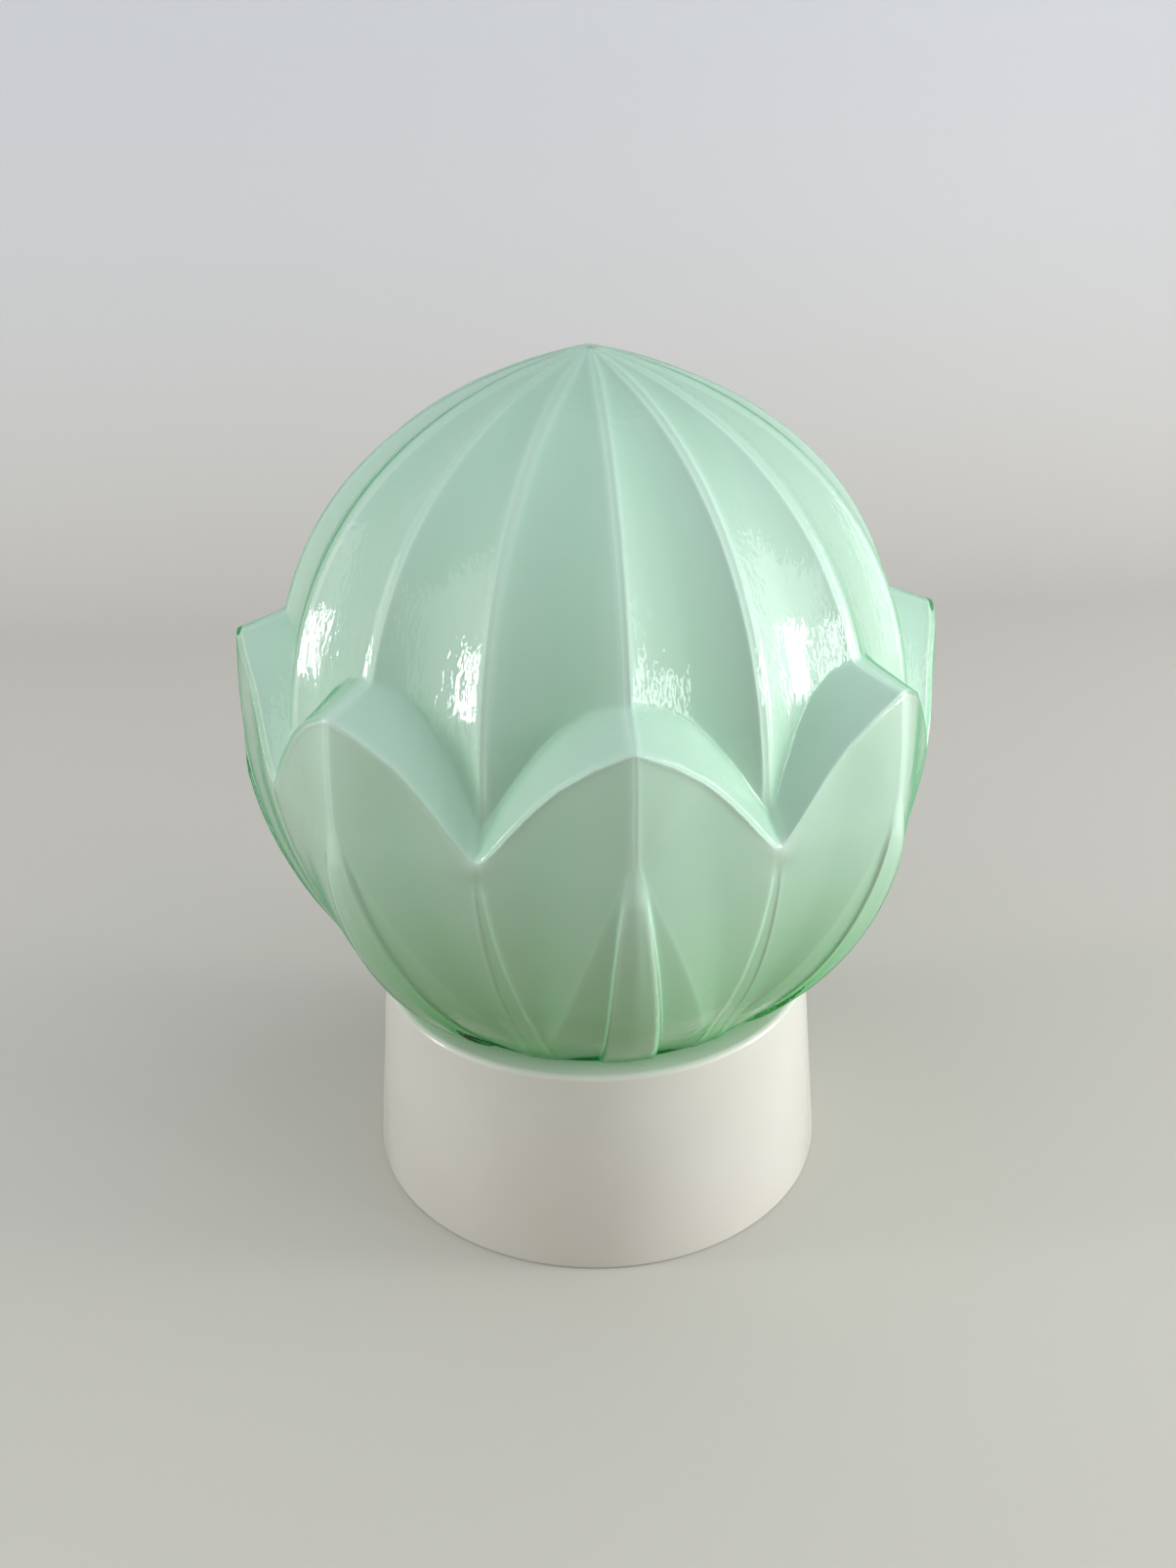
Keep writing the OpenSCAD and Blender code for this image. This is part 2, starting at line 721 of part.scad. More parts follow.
// Half outline of the bulb's glass, offset inwards by in: a ball that runs down into a neck
function bulb_outline(in) =
  let (
    r = bulb_r - in,
    end = [r * cos(ball_leave), bulb_mid + r * sin(ball_leave)],
    neck = [envelope_r - in + neck_bulge, cap_top + 2 * fit_gap],
    curve = [
      end, end + ball_pull * [sin(ball_leave), -cos(ball_leave)],
      neck + [0, neck_pull], neck
    ]
  )
  concat(
    [[0, bulb_mid + r]],
    arc(0, bulb_mid, r, 80, ball_leave, 16),
    [for (i = [1 : 8]) bezier(curve, i / 8)],
    [[envelope_r - in, cap_top + fit_gap], [envelope_r - in, envelope_z]]
  );

module bulb_envelope() {
  outside = bulb_outline(0);
  inside = bulb_outline(bulb_wall);
  color("#f2f5f6", 0.5)
    rotate_extrude()
      polygon(concat(outside, [for (i = [len(inside) - 1 : -1 : 0]) inside[i]]));
}

module bulb_cap() {
  color("#b9bcc0")
    shell(concat(
      thread_rings(cap_d / 2, cap_thread, cap_z, cap_top),
      [plain_ring(cap_in_r, cap_top), plain_ring(cap_in_r, cap_z)]
    ));
}

module cap_insulator() {
  top = insulator_z + insulator_h;
  color("#1c1c1e")
    rotate_extrude()
      polygon([
        [0, insulator_z], [contact_r + insulator_lap, insulator_z],
        [insulator_r, cap_z], [insulator_r, top], [0, top]
      ]);
}

module bulb_contact() {
  color("#c8cacc")
    rotate_extrude()
      polygon(concat(
        [[0, contact_z]],
        arc(contact_r - contact_round, contact_z + contact_round, contact_round, -90, 0),
        [[contact_r, insulator_z], [0, insulator_z]]
      ));
}

module bulb_stem() {
  flare_r = envelope_r - bulb_wall - fit_gap;
  color("#e6ecec", 0.6)
    rotate_extrude()
      polygon([
        [0, envelope_z], [flare_r, envelope_z], [flare_r, envelope_z + stem_foot],
        [stem_tube_r + stem_foot, envelope_z + stem_flare / 2], [stem_tube_r, envelope_z + stem_flare],
        [stem_tube_r, stem_top - stem_rod_len - stem_tube_r / 2],
        [stem_rod_r, stem_top - stem_rod_len], [stem_rod_r, stem_top], [0, stem_top]
      ]);
}

// Turn of a filament round the stem
function filament_turn(k) = 360 * k / filament_count + half_petal;

module led_filaments() {
  color("#f2c94c")
    for (k = [0 : filament_count - 1])
      translate(at(filament_turn(k), filament_ring_r, stem_top - filament_len))
        cylinder(r = filament_r, h = filament_len);
}

// Leads: a collar round the stem's rod, and arms that carry each end of the filaments
module lead_star(collar) {
  cylinder(r = collar, h = 2 * lead_r);
  for (k = [0 : filament_count - 1])
    rotate([0, 0, filament_turn(k) - 90])
      translate([0, -lead_r, 0]) cube([filament_ring_r + filament_r, 2 * lead_r, 2 * lead_r]);
}

module filament_leads() {
  color("#b9bcc0") {
    translate([0, 0, stem_top]) lead_star(2 * stem_rod_r);
    translate([0, 0, stem_top - filament_len - 2 * lead_r])
      difference() {
        lead_star(stem_tube_r + 2 * stem_rod_r);
        translate([0, 0, -over]) cylinder(r = stem_tube_r + fit_gap, h = 2 * lead_r + 2 * over);
      }
  }
}

// Driver: a board on edge in the cap, with a round capacitor on one side and a chip on the other
module driver_board() {
  board_z = insulator_z + insulator_h + run_gap;
  board_h = envelope_z - board_z - fit_gap;
  board_w = 1.4 * cap_in_r;
  board_t = 1.6;
  capacitor_r = 3.5;
  capacitor_h = 4;
  chip = [5, 2.2, 4];
  color("#3f7a4d") {
    translate([-board_w / 2, -board_t / 2, board_z]) cube([board_w, board_t, board_h]);
    translate([0, -board_t / 2, board_z + board_h / 2])
      rotate([90, 0, 0]) cylinder(r = capacitor_r, h = capacitor_h);
    translate([-chip[0] / 2, board_t / 2, board_z + chip[2] / 2]) cube(chip);
  }
}

base_housing();
cable_grommet();
neck_seal();
glass_shade();
lampholder_body();
thread_sleeve();
centre_contact();
contact_spring();
live_strap();
neutral_strap();
live_terminal();
neutral_terminal();
terminal_screws();
holder_screws();
holder_washers();
holder_nuts();
bulb_envelope();
bulb_cap();
cap_insulator();
bulb_contact();
bulb_stem();
filament_leads();
led_filaments();
driver_board();
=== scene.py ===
"""Looks of a small ceiling lamp: a lotus-shaped shade of cased glass over a white conical base.

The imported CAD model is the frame. Each piece made here stands for a CAD node, rides on that node's
body and lies where the node lies. Sizes are in millimetres until a mesh is made.
"""

import json
import logging
import math
from dataclasses import dataclass
from enum import Enum
from typing import Callable

import bmesh
import bpy
import numpy as np
from mathutils import Matrix, Quaternion, Vector

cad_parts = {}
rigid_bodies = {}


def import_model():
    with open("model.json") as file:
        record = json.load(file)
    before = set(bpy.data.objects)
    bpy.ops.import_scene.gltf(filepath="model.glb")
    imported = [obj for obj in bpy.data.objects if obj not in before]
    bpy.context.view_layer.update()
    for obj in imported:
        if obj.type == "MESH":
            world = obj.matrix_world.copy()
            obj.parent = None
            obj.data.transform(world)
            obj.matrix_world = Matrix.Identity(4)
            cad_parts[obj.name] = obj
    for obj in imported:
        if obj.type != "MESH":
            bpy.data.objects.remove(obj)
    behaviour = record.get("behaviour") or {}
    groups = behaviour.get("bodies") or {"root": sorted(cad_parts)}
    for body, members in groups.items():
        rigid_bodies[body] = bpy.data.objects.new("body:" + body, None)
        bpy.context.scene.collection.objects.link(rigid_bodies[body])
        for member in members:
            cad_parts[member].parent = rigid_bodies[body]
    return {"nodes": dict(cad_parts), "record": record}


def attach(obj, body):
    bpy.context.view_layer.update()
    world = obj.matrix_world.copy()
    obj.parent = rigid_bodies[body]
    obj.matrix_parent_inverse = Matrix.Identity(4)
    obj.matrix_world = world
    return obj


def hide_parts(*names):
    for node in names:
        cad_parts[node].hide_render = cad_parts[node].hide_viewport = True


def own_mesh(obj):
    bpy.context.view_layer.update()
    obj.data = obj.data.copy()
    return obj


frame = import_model()

LOG = logging.getLogger("lamp")
MM = 0.001
EDGE_LIGHT = "edge"
Grid = np.ndarray
Piece = bpy.types.Object
Material = bpy.types.Material
Socket = bpy.types.NodeSocket
Colour = tuple[float, float, float] | Socket


class Body(Enum):
    """The CAD bodies that pieces ride on."""

    BASE = "base"
    SHADE = "shade"
    SEAL = "shade_carrier"
    BULB = "bulb"
    BULB_FOOT = "bulb_carrier"
    CONTACT = "contact"


def mix(low: float, high: float, share: float) -> float:
    """The value at that share of the way from low to high."""
    return low + (high - low) * share


def cubic(t: Grid) -> tuple[Grid, Grid, Grid, Grid]:
    """Weights of the four points of a cubic curve at a share of its way."""
    return (1 - t) ** 3, 3 * t * (1 - t) ** 2, 3 * t * t * (1 - t), t**3


class NodeBench:
    """A material's node tree, with short calls that add and join nodes."""

    def __init__(self, name: str) -> None:
        """Start an empty material of that name.

        Args:
            name: the material's name.
        """
        self.material = bpy.data.materials.new(name)
        self.material.use_nodes = True
        self.tree = self.material.node_tree
        self.tree.nodes.clear()
        self.output = self.tree.nodes.new("ShaderNodeOutputMaterial")

    def add(self, kind: str, **inputs: object) -> bpy.types.Node:
        """Add a node.

        Args:
            kind: Blender's name of the node's type.
            inputs: values for its input sockets, with _ for a space in a socket's name.

        Returns:
            The new node.
        """
        node = self.tree.nodes.new(kind)
        for name, value in inputs.items():
            node.inputs[name.replace("_", " ")].default_value = value
        return node

    def join(self, start: Socket, end: Socket) -> None:
        """Link an output socket to an input socket."""
        self.tree.links.new(start, end)

    def places(self) -> Socket:
        """Object coordinates, in metres."""
        return self.add("ShaderNodeTexCoord").outputs["Object"]

    def noise(self, scale: float, detail: float, stretch: Vector = Vector((1, 1, 1))) -> Socket:
        """Noise over the surface.

        Args:
            scale: waves a metre.
            detail: octaves of finer noise.
            stretch: how much finer the noise is along each axis.

        Returns:
            The noise value, about 0.5 on average.
        """
        mapping = self.add("ShaderNodeMapping", Scale=stretch)
        self.join(self.places(), mapping.inputs["Vector"])
        noise = self.add("ShaderNodeTexNoise", Scale=scale, Detail=detail)
        self.join(mapping.outputs["Vector"], noise.inputs["Vector"])
        return noise.outputs["Fac"]

    def height(self) -> Socket:
        """Height above the mounting face, in metres.

        Returns:
            The node's output socket.
        """
        parts = self.add("ShaderNodeSeparateXYZ")
        self.join(self.places(), parts.inputs["Vector"])
        return parts.outputs["Z"]

    def ramp(self, source: Socket, start: float, end: float, low: float = 0.0, high: float = 1.0) -> Socket:
        """Map a value from start to end onto low to high.

        Args:
            source: the value's socket.
            start: the value that gives low.
            end: the value that gives high.
            low: the first result.
            high: the last result.

        Returns:
            The node's output socket.
        """
        node = self.add("ShaderNodeMapRange", From_Min=start, From_Max=end, To_Min=low, To_Max=high)
        self.join(source, node.inputs["Value"])
        return node.outputs["Result"]

    def span(self, source: Socket, low: float, high: float) -> Socket:
        """Map a noise value's usual span, 0.3 to 0.7, to low and high."""
        return self.ramp(source, 0.3, 0.7, low, high)

    def blend(self, source: Socket, first: Colour, second: Colour) -> Socket:
        """Blend two colours, or sockets that give them, by a value from 0 to 1.

        Args:
            source: socket of the share of the second colour.
            first: the colour at 0.
            second: the colour at 1.

        Returns:
            The node's output socket.
        """
        node = self.tree.nodes.new("ShaderNodeMix")
        node.data_type = "RGBA"
        sockets = [s for s in node.inputs if s.type == "RGBA"]
        for socket, colour in zip(sockets, (first, second)):
            if isinstance(colour, Socket):
                self.join(colour, socket)
            else:
                socket.default_value = (*colour, 1)
        self.join(source, node.inputs["Factor"])
        return next(s for s in node.outputs if s.type == "RGBA")

    def bump(self, source: Socket, height: float, under: Socket | None = None) -> Socket:
        """A normal bent by a height map whose full height is given in millimetres, over another.

        Args:
            source: the height map's socket.
            height: its full height in millimetres.
            under: a normal that is bent further.

        Returns:
            The node's output socket.
        """
        node = self.add("ShaderNodeBump", Distance=height * MM)
        self.join(source, node.inputs["Height"])
        if under:
            self.join(under, node.inputs["Normal"])
        return node.outputs["Normal"]

    def maths(self, operation: str, *values: object) -> Socket:
        """A Math node whose inputs are numbers or sockets.

        Args:
            operation: Blender's name of the operation.
            values: numbers or sockets, in order.

        Returns:
            The node's output socket.
        """
        node = self.tree.nodes.new("ShaderNodeMath")
        node.operation = operation
        for socket, value in zip(node.inputs, values):
            if isinstance(value, Socket):
                self.join(value, socket)
            else:
                socket.default_value = value
        return node.outputs[0]

    def layer(self, share: Socket, under: Socket, over: Socket) -> Socket:
        """Blend two surfaces by a value from 0 to 1.

        Args:
            share: socket of the share of the upper surface.
            under: the surface at 0.
            over: the surface at 1.

        Returns:
            The node's output socket.
        """
        node = self.tree.nodes.new("ShaderNodeMixShader")
        self.join(share, node.inputs["Fac"])
        self.join(under, node.inputs[1])
        self.join(over, node.inputs[2])
        return node.outputs["Shader"]

    def finish(self, surface: Socket) -> Material:
        """Join the surface to the output and return the material."""
        self.join(surface, self.output.inputs["Surface"])
        return self.material


@dataclass(frozen=True)
class SolidFinish:
    """An opaque finish: two close colours, a roughness that varies and a fine bump.

    Fields: the record's slot, the two colours, the least and greatest roughness, metal 0 or 1,
    the waves a metre of the colour and of the bump, the bump's height in millimetres, the clear
    coat's weight, the light that scatters inside, and how the pattern is stretched.
    """

    slot: str
    dark: tuple[float, float, float]
    light: tuple[float, float, float]
    rough: tuple[float, float] = (0.4, 0.5)
    metal: float = 0.0
    cloud: float = 40.0
    grain: float = 900.0
    height: float = 0.01
    coat: float = 0.0
    scatter: float = 0.0
    stretch: tuple[float, float, float] = (1, 1, 1)

    def colour(self, bench: NodeBench) -> Socket:
        """The colour over the surface."""
        cloud = bench.noise(self.cloud, 3, Vector(self.stretch))
        return bench.blend(bench.span(cloud, 0, 1), self.dark, self.light)

    def material(self) -> Material:
        """The finish as a material, made once.

        Returns:
            The material.
        """
        known = bpy.data.materials.get("finish_" + self.slot)
        if known:
            return known
        bench = NodeBench("finish_" + self.slot)
        grain = bench.noise(self.grain, 4, Vector(self.stretch))
        shader = bench.add(
            "ShaderNodeBsdfPrincipled",
            Metallic=self.metal,
            Coat_Weight=self.coat,
            Subsurface_Weight=self.scatter,
            Subsurface_Scale=2 * MM,
            Subsurface_Radius=(1, 1, 1),
        )
        bench.join(self.colour(bench), shader.inputs["Base Color"])
        bench.join(bench.span(grain, *self.rough), shader.inputs["Roughness"])
        bench.join(bench.bump(grain, self.height), shader.inputs["Normal"])
        return bench.finish(shader.outputs["BSDF"])


@dataclass(frozen=True)
class GlassFinish:
    """A clear finish that lamps shine through, tinted by the length of glass that light passes.

    Fields: the record's slot, the absorption colour and density, the roughness, the waves a metre
    and height in millimetres of the ripples and of the finer streaks that pressing leaves, how
    they are stretched, and the colour of glass seen edge-on, with how much of it shows.
    """

    slot: str
    tint: tuple[float, float, float] = (1, 1, 1)
    density: float = 0.0
    rough: tuple[float, float] = (0.01, 0.03)
    ripple: float = 300.0
    height: float = 0.022
    streak: float = 1400.0
    streak_height: float = 0.0
    stretch: tuple[float, float, float] = (1, 1, 0.2)
    grazing: tuple[float, float, float] | None = None
    rim: float = 0.0

    def material(self) -> Material:
        """The finish as a material, made once.

        Returns:
            The material.
        """
        known = bpy.data.materials.get("finish_" + self.slot)
        if known:
            return known
        bench = NodeBench("finish_" + self.slot)
        glass = bench.add("ShaderNodeBsdfPrincipled", IOR=1.5)
        glass.inputs["Transmission Weight"].default_value = 1
        ripple = bench.noise(self.ripple, 1, Vector(self.stretch))
        bench.join(bench.span(ripple, *self.rough), glass.inputs["Roughness"])
        normal = bench.bump(ripple, self.height)
        if self.streak_height:
            normal = bench.bump(bench.noise(self.streak, 1, Vector(self.stretch)), self.streak_height, normal)
        bench.join(normal, glass.inputs["Normal"])
        surface = glass.outputs["BSDF"]
        if self.grazing:
            facing = bench.add("ShaderNodeLayerWeight", Blend=0.5).outputs["Facing"]
            steep = bench.maths("POWER", facing, 4)
            bench.join(bench.blend(steep, (1, 1, 1), self.grazing), glass.inputs["Base Color"])
            edge_on = bench.add("ShaderNodeMapRange", From_Min=0.80, From_Max=0.96, To_Max=self.rim)
            edge_on.interpolation_type = "SMOOTHSTEP"
            bench.join(facing, edge_on.inputs["Value"])
            outside = bench.maths("SUBTRACT", 1, bench.add("ShaderNodeNewGeometry").outputs["Backfacing"])
            share = bench.maths("MULTIPLY", edge_on.outputs["Result"], outside)
            deep = bench.add("ShaderNodeBsdfPrincipled", Base_Color=(*self.grazing, 1), Roughness=0.5)
            surface = bench.layer(share, surface, deep.outputs["BSDF"])
        clear = bench.add("ShaderNodeBsdfTransparent")
        path = bench.add("ShaderNodeLightPath")
        either = bench.maths("MAXIMUM", path.outputs["Is Shadow Ray"], path.outputs["Is Diffuse Ray"])
        surface = bench.layer(either, surface, clear.outputs["BSDF"])
        if self.density:
            volume = bench.add("ShaderNodeVolumeAbsorption", Color=(*self.tint, 1), Density=self.density)
            bench.join(volume.outputs["Volume"], bench.output.inputs["Volume"])
        return bench.finish(surface)


class Finishes(Enum):
    """The lamp's finishes."""

    MOULDING = SolidFinish(
        "white_moulding",
        (0.705, 0.695, 0.64),
        (0.735, 0.73, 0.68),
        (0.20, 0.23),
        grain=300.0,
        height=0.0005,
        scatter=0.1,
    )
    RUBBER = SolidFinish("black_rubber", (0.012, 0.012, 0.012), (0.03, 0.03, 0.03), (0.6, 0.8), height=0.02)
    CASING = GlassFinish(
        "green_cased_glass",
        (0.01, 0.735, 0.34),
        105.0,
        (0.02, 0.05),
        ripple=420.0,
        height=0.16,
        streak=1500.0,
        streak_height=0.08,
        grazing=(0.04, 0.36, 0.14),
        rim=0.8,
    )
    PORCELAIN = SolidFinish(
        "porcelain", (0.78, 0.75, 0.69), (0.84, 0.82, 0.77), (0.1, 0.2), coat=0.6, height=0.006
    )
    BRASS = SolidFinish(
        "brass", (0.55, 0.36, 0.12), (0.70, 0.50, 0.20), (0.22, 0.4), 1.0, stretch=(1, 1, 6), height=0.004
    )
    STEEL = SolidFinish(
        "steel", (0.45, 0.46, 0.47), (0.62, 0.63, 0.64), (0.22, 0.42), 1.0, stretch=(1, 1, 5), height=0.004
    )
    FIBRE = SolidFinish("fibre", (0.16, 0.04, 0.02), (0.24, 0.07, 0.04), (0.55, 0.7), height=0.015)
    CLEAR = GlassFinish("clear_glass", rough=(0.0, 0.01), height=0.004)
    CAP = SolidFinish("cap_metal", (0.55, 0.56, 0.57), (0.70, 0.71, 0.72), (0.18, 0.32), 1.0, height=0.004)
    CAP_GLASS = SolidFinish(
        "black_glass", (0.006, 0.006, 0.007), (0.014, 0.014, 0.015), (0.06, 0.15), coat=0.5
    )
    PHOSPHOR = SolidFinish("phosphor", (0.75, 0.42, 0.03), (0.85, 0.55, 0.07), (0.5, 0.65), height=0.02)
    BOARD = SolidFinish("circuit_board", (0.015, 0.10, 0.035), (0.03, 0.16, 0.06), (0.3, 0.45), height=0.01)


@dataclass(frozen=True)
class OpalFinish(SolidFinish):
    """An opaque finish with painted light: paler along the edges of the glass over it, standing in for the
    light that those edges gather.

    Towards the foot of the glass, from one height to another in millimetres, it turns green.
    """

    # colour of the painted light along the edges of the glass over the lining
    edge: tuple[float, float, float] = (0.88, 0.89, 0.88)
    foot: tuple[float, float, float] = (0.50, 0.88, 0.48)
    foot_z: tuple[float, float] = (122.0, 47.5)
    foot_bend: float = 1.9

    def colour(self, bench: NodeBench) -> Socket:
        """The colour over the surface, with painted light along the edges and a green foot.

        Args:
            bench: the material's bench.

        Returns:
            The colour's socket.
        """
        close = bench.add("ShaderNodeAttribute")
        close.attribute_name = EDGE_LIGHT
        # painted light: paler where the edges of the glass over it gather light
        edged = bench.blend(close.outputs["Fac"], super().colour(bench), self.edge)
        high, low = self.foot_z
        fall = bench.ramp(bench.height(), high * MM, low * MM)
        return bench.blend(bench.maths("POWER", fall, self.foot_bend), edged, self.foot)


OPAL = OpalFinish("opal_lining", (0.74, 0.76, 0.73), (0.78, 0.79, 0.77), (0.45, 0.55), height=0.0, cloud=25.0)


def keep_shape(piece: Piece) -> None:
    """Make a piece's evaluated shape its plain mesh, without modifiers.

    Args:
        piece: the object, with its modifiers set.
    """
    graph = bpy.context.evaluated_depsgraph_get()
    made = bpy.data.meshes.new_from_object(piece.evaluated_get(graph))
    piece.modifiers.clear()
    old = piece.data
    piece.data = made
    bpy.data.meshes.remove(old)
    made.name = piece.name


class ShapeTree:
    """A Geometry Nodes tree with named inputs, whose result is kept as a plain mesh."""

    def __init__(self, name: str, inputs: dict[str, str]) -> None:
        """Start a tree.

        Args:
            name: the tree's name.
            inputs: the kind of socket of each named input.
        """
        self.tree = bpy.data.node_groups.new(name, "GeometryNodeTree")
        face = self.tree.interface
        face.new_socket("Geometry", in_out="INPUT", socket_type="NodeSocketGeometry")
        self.ids = {
            key: face.new_socket(key, in_out="INPUT", socket_type="NodeSocket" + kind).identifier
            for key, kind in inputs.items()
        }
        face.new_socket("Geometry", in_out="OUTPUT", socket_type="NodeSocketGeometry")

    def add(self, kind: str) -> bpy.types.Node:
        """Add a node."""
        return self.tree.nodes.new(kind)

    def maths(self, operation: str, *values: object) -> Socket:
        """Add a Math node whose inputs are numbers or sockets, and return its output.

        Args:
            operation: Blender's name of the operation.
            values: numbers or sockets, in order.

        Returns:
            The node's output socket.
        """
        node = self.add("ShaderNodeMath")
        node.operation = operation
        for socket, value in zip(node.inputs, values):
            if isinstance(value, Socket):
                self.tree.links.new(value, socket)
            else:
                socket.default_value = value
        return node.outputs[0]

    def join(self, pairs: tuple[tuple[Socket, Socket], ...]) -> None:
        """Link pairs of an output and an input socket."""
        for first, second in pairs:
            self.tree.links.new(first, second)

    def shape(self, piece: Piece, values: dict[str, object]) -> None:
        """Run the tree on a piece and keep what it makes.

        Args:
            piece: the object whose mesh goes in.
            values: a value for each named input, lengths in metres.
        """
        modifier = piece.modifiers.new("shape", "NODES")
        modifier.node_group = self.tree
        for key, value in values.items():
            modifier[self.ids[key]] = value
        keep_shape(piece)


class TurnedCopies(ShapeTree):
    """Copies of a mesh, turned about the Z axis and welded."""

    weld_reach = 1e-6

    def __init__(self) -> None:
        """Build the tree."""
        super().__init__("turned_copies", {"Count": "Int", "Weld": "Float", "Material": "Material"})
        start = self.add("NodeGroupInput")
        points = self.add("GeometryNodePoints")
        index = self.add("GeometryNodeInputIndex")
        step = self.maths("DIVIDE", math.tau, start.outputs["Count"])
        turn = self.maths("MULTIPLY", index.outputs["Index"], step)
        angles = self.add("ShaderNodeCombineXYZ")
        rotation = self.add("FunctionNodeEulerToRotation")
        copies = self.add("GeometryNodeInstanceOnPoints")
        real = self.add("GeometryNodeRealizeInstances")
        welded = self.add("GeometryNodeMergeByDistance")
        dress = self.add("GeometryNodeSetMaterial")
        end = self.add("NodeGroupOutput")
        self.join(
            (
                (start.outputs["Count"], points.inputs["Count"]),
                (points.outputs[0], copies.inputs["Points"]),
                (start.outputs["Geometry"], copies.inputs["Instance"]),
                (turn, angles.inputs["Z"]),
                (angles.outputs["Vector"], rotation.inputs["Euler"]),
                (rotation.outputs["Rotation"], copies.inputs["Rotation"]),
                (copies.outputs["Instances"], real.inputs["Geometry"]),
                (real.outputs["Geometry"], welded.inputs["Geometry"]),
                (start.outputs["Weld"], welded.inputs["Distance"]),
                (welded.outputs["Geometry"], dress.inputs["Geometry"]),
                (start.outputs["Material"], dress.inputs["Material"]),
                (dress.outputs["Geometry"], end.inputs["Geometry"]),
            )
        )

    def apply(self, piece: Piece, count: int, material: Material) -> None:
        """Turn a piece's mesh into a ring of copies.

        Args:
            piece: the object that holds one copy, and then the ring.
            count: copies in a full turn.
            material: what the ring wears.
        """
        self.shape(piece, {"Count": count, "Weld": self.weld_reach, "Material": material})


def grid_faces(rows: int, cols: int, wrap: bool) -> list[tuple[int, ...]]:
    """Quads between the rows of a grid, whose columns close into a ring if wrap is set.

    Args:
        rows: rows of points.
        cols: points in a row.
        wrap: whether a row's last point meets its first.

    Returns:
        The corners of each face.
    """
    last = cols if wrap else cols - 1
    return [
        (i * cols + j, i * cols + (j + 1) % cols, (i + 1) * cols + (j + 1) % cols, (i + 1) * cols + j)
        for i in range(rows - 1)
        for j in range(last)
    ]


def make_piece(name: str, points: Grid, faces: list[tuple[int, ...]]) -> Piece:
    """A smooth-shaded mesh object at the origin.

    Args:
        name: the piece's name.
        points: an array of x, y, z in millimetres.
        faces: corners of each face, anticlockwise from outside.

    Returns:
        The new object, linked to the scene.
    """
    mesh = bpy.data.meshes.new(name)
    mesh.from_pydata((np.asarray(points).reshape(-1, 3) * MM).tolist(), [], faces)
    mesh.validate()
    mesh.shade_smooth()
    piece = bpy.data.objects.new(name, mesh)
    bpy.context.scene.collection.objects.link(piece)
    return piece


def lathe(name: str, outline: list[tuple[float, float]], segments: int = 96) -> Piece:
    """Turn a closed outline of (radius, height) points about the Z axis.

    Args:
        name: the piece's name.
        outline: points in millimetres, anticlockwise with the axis on their left.
        segments: steps in a full turn.

    Returns:
        The new object, with points on the axis welded.
    """
    radii, heights = np.array(outline).T
    return ring_solid(name, np.repeat(radii[:, None], segments, 1), heights)


def ring_solid(name: str, radii: Grid, heights: Grid) -> Piece:
    """A solid of rings about the Z axis, whose last ring meets its first.

    Args:
        name: the piece's name.
        radii: radius in millimetres over (ring, turn).
        heights: each ring's height in millimetres.

    Returns:
        The new object, with points on the axis welded.
    """
    rows, cols = radii.shape
    turns = np.arange(cols) * math.tau / cols
    levels = np.repeat(heights[:, None], cols, 1)
    points = np.stack([radii * np.sin(turns), -radii * np.cos(turns), levels], axis=-1)
    faces = [tuple(k % (rows * cols) for k in face) for face in grid_faces(rows + 1, cols, True)]
    piece = make_piece(name, points, faces)
    weld(piece)
    return piece


def thread(radius: float, depth: Grid, pitch: float, heights: Grid, cols: int) -> Grid:
    """Radii of a round right-hand thread.

    Args:
        radius: the crest's radius.
        depth: the thread's depth at each height.
        pitch: rise in a turn.
        heights: the rings' heights.
        cols: steps in a full turn.

    Returns:
        Radii over (ring, turn).
    """
    turns = np.arange(cols) / cols
    root = (1 - np.cos(math.tau * (heights[:, None] / pitch - turns))) / 2
    return radius - depth[:, None] * root


def join(name: str, parts: list[Piece]) -> Piece:
    """Put the meshes of several objects into one new object, and remove them.

    Args:
        name: the new object's name.
        parts: the objects to put together.

    Returns:
        The new object.
    """
    work = bmesh.new()
    for part in parts:
        work.from_mesh(part.data)
        bpy.data.meshes.remove(part.data)
    mesh = bpy.data.meshes.new(name)
    work.to_mesh(mesh)
    work.free()
    piece = bpy.data.objects.new(name, mesh)
    bpy.context.scene.collection.objects.link(piece)
    return piece


def cut(body: Piece, tool: Piece, operation: str) -> None:
    """Apply a boolean with a tool, and remove the tool.

    Args:
        body: the object that keeps the result.
        tool: the object to add or cut with.
        operation: Blender's name of the boolean.
    """
    modifier = body.modifiers.new("cut", "BOOLEAN")
    modifier.operation = operation
    modifier.solver = "MANIFOLD"
    modifier.object = tool
    keep_shape(body)
    bpy.data.meshes.remove(tool.data)


def block(low: tuple[float, float, float], high: tuple[float, float, float]) -> Piece:
    """A block between two corners, as a tool to cut with.

    Args:
        low: the lowest corner, in millimetres.
        high: the highest corner, in millimetres.

    Returns:
        The block as an object.
    """
    work = bmesh.new()
    bmesh.ops.create_cube(work, size=1)
    mesh = bpy.data.meshes.new("tool")
    work.to_mesh(mesh)
    work.free()
    a, b = Vector(low) * MM, Vector(high) * MM
    mesh.transform(Matrix.Translation((a + b) / 2) @ Matrix.Diagonal((*(b - a), 1)))
    tool = bpy.data.objects.new("tool", mesh)
    bpy.context.scene.collection.objects.link(tool)
    return tool


def shift(piece: Piece, x: float, y: float) -> Piece:
    """Move a piece's mesh sideways, in millimetres."""
    piece.data.transform(Matrix.Translation(Vector((x, y, 0)) * MM))
    return piece


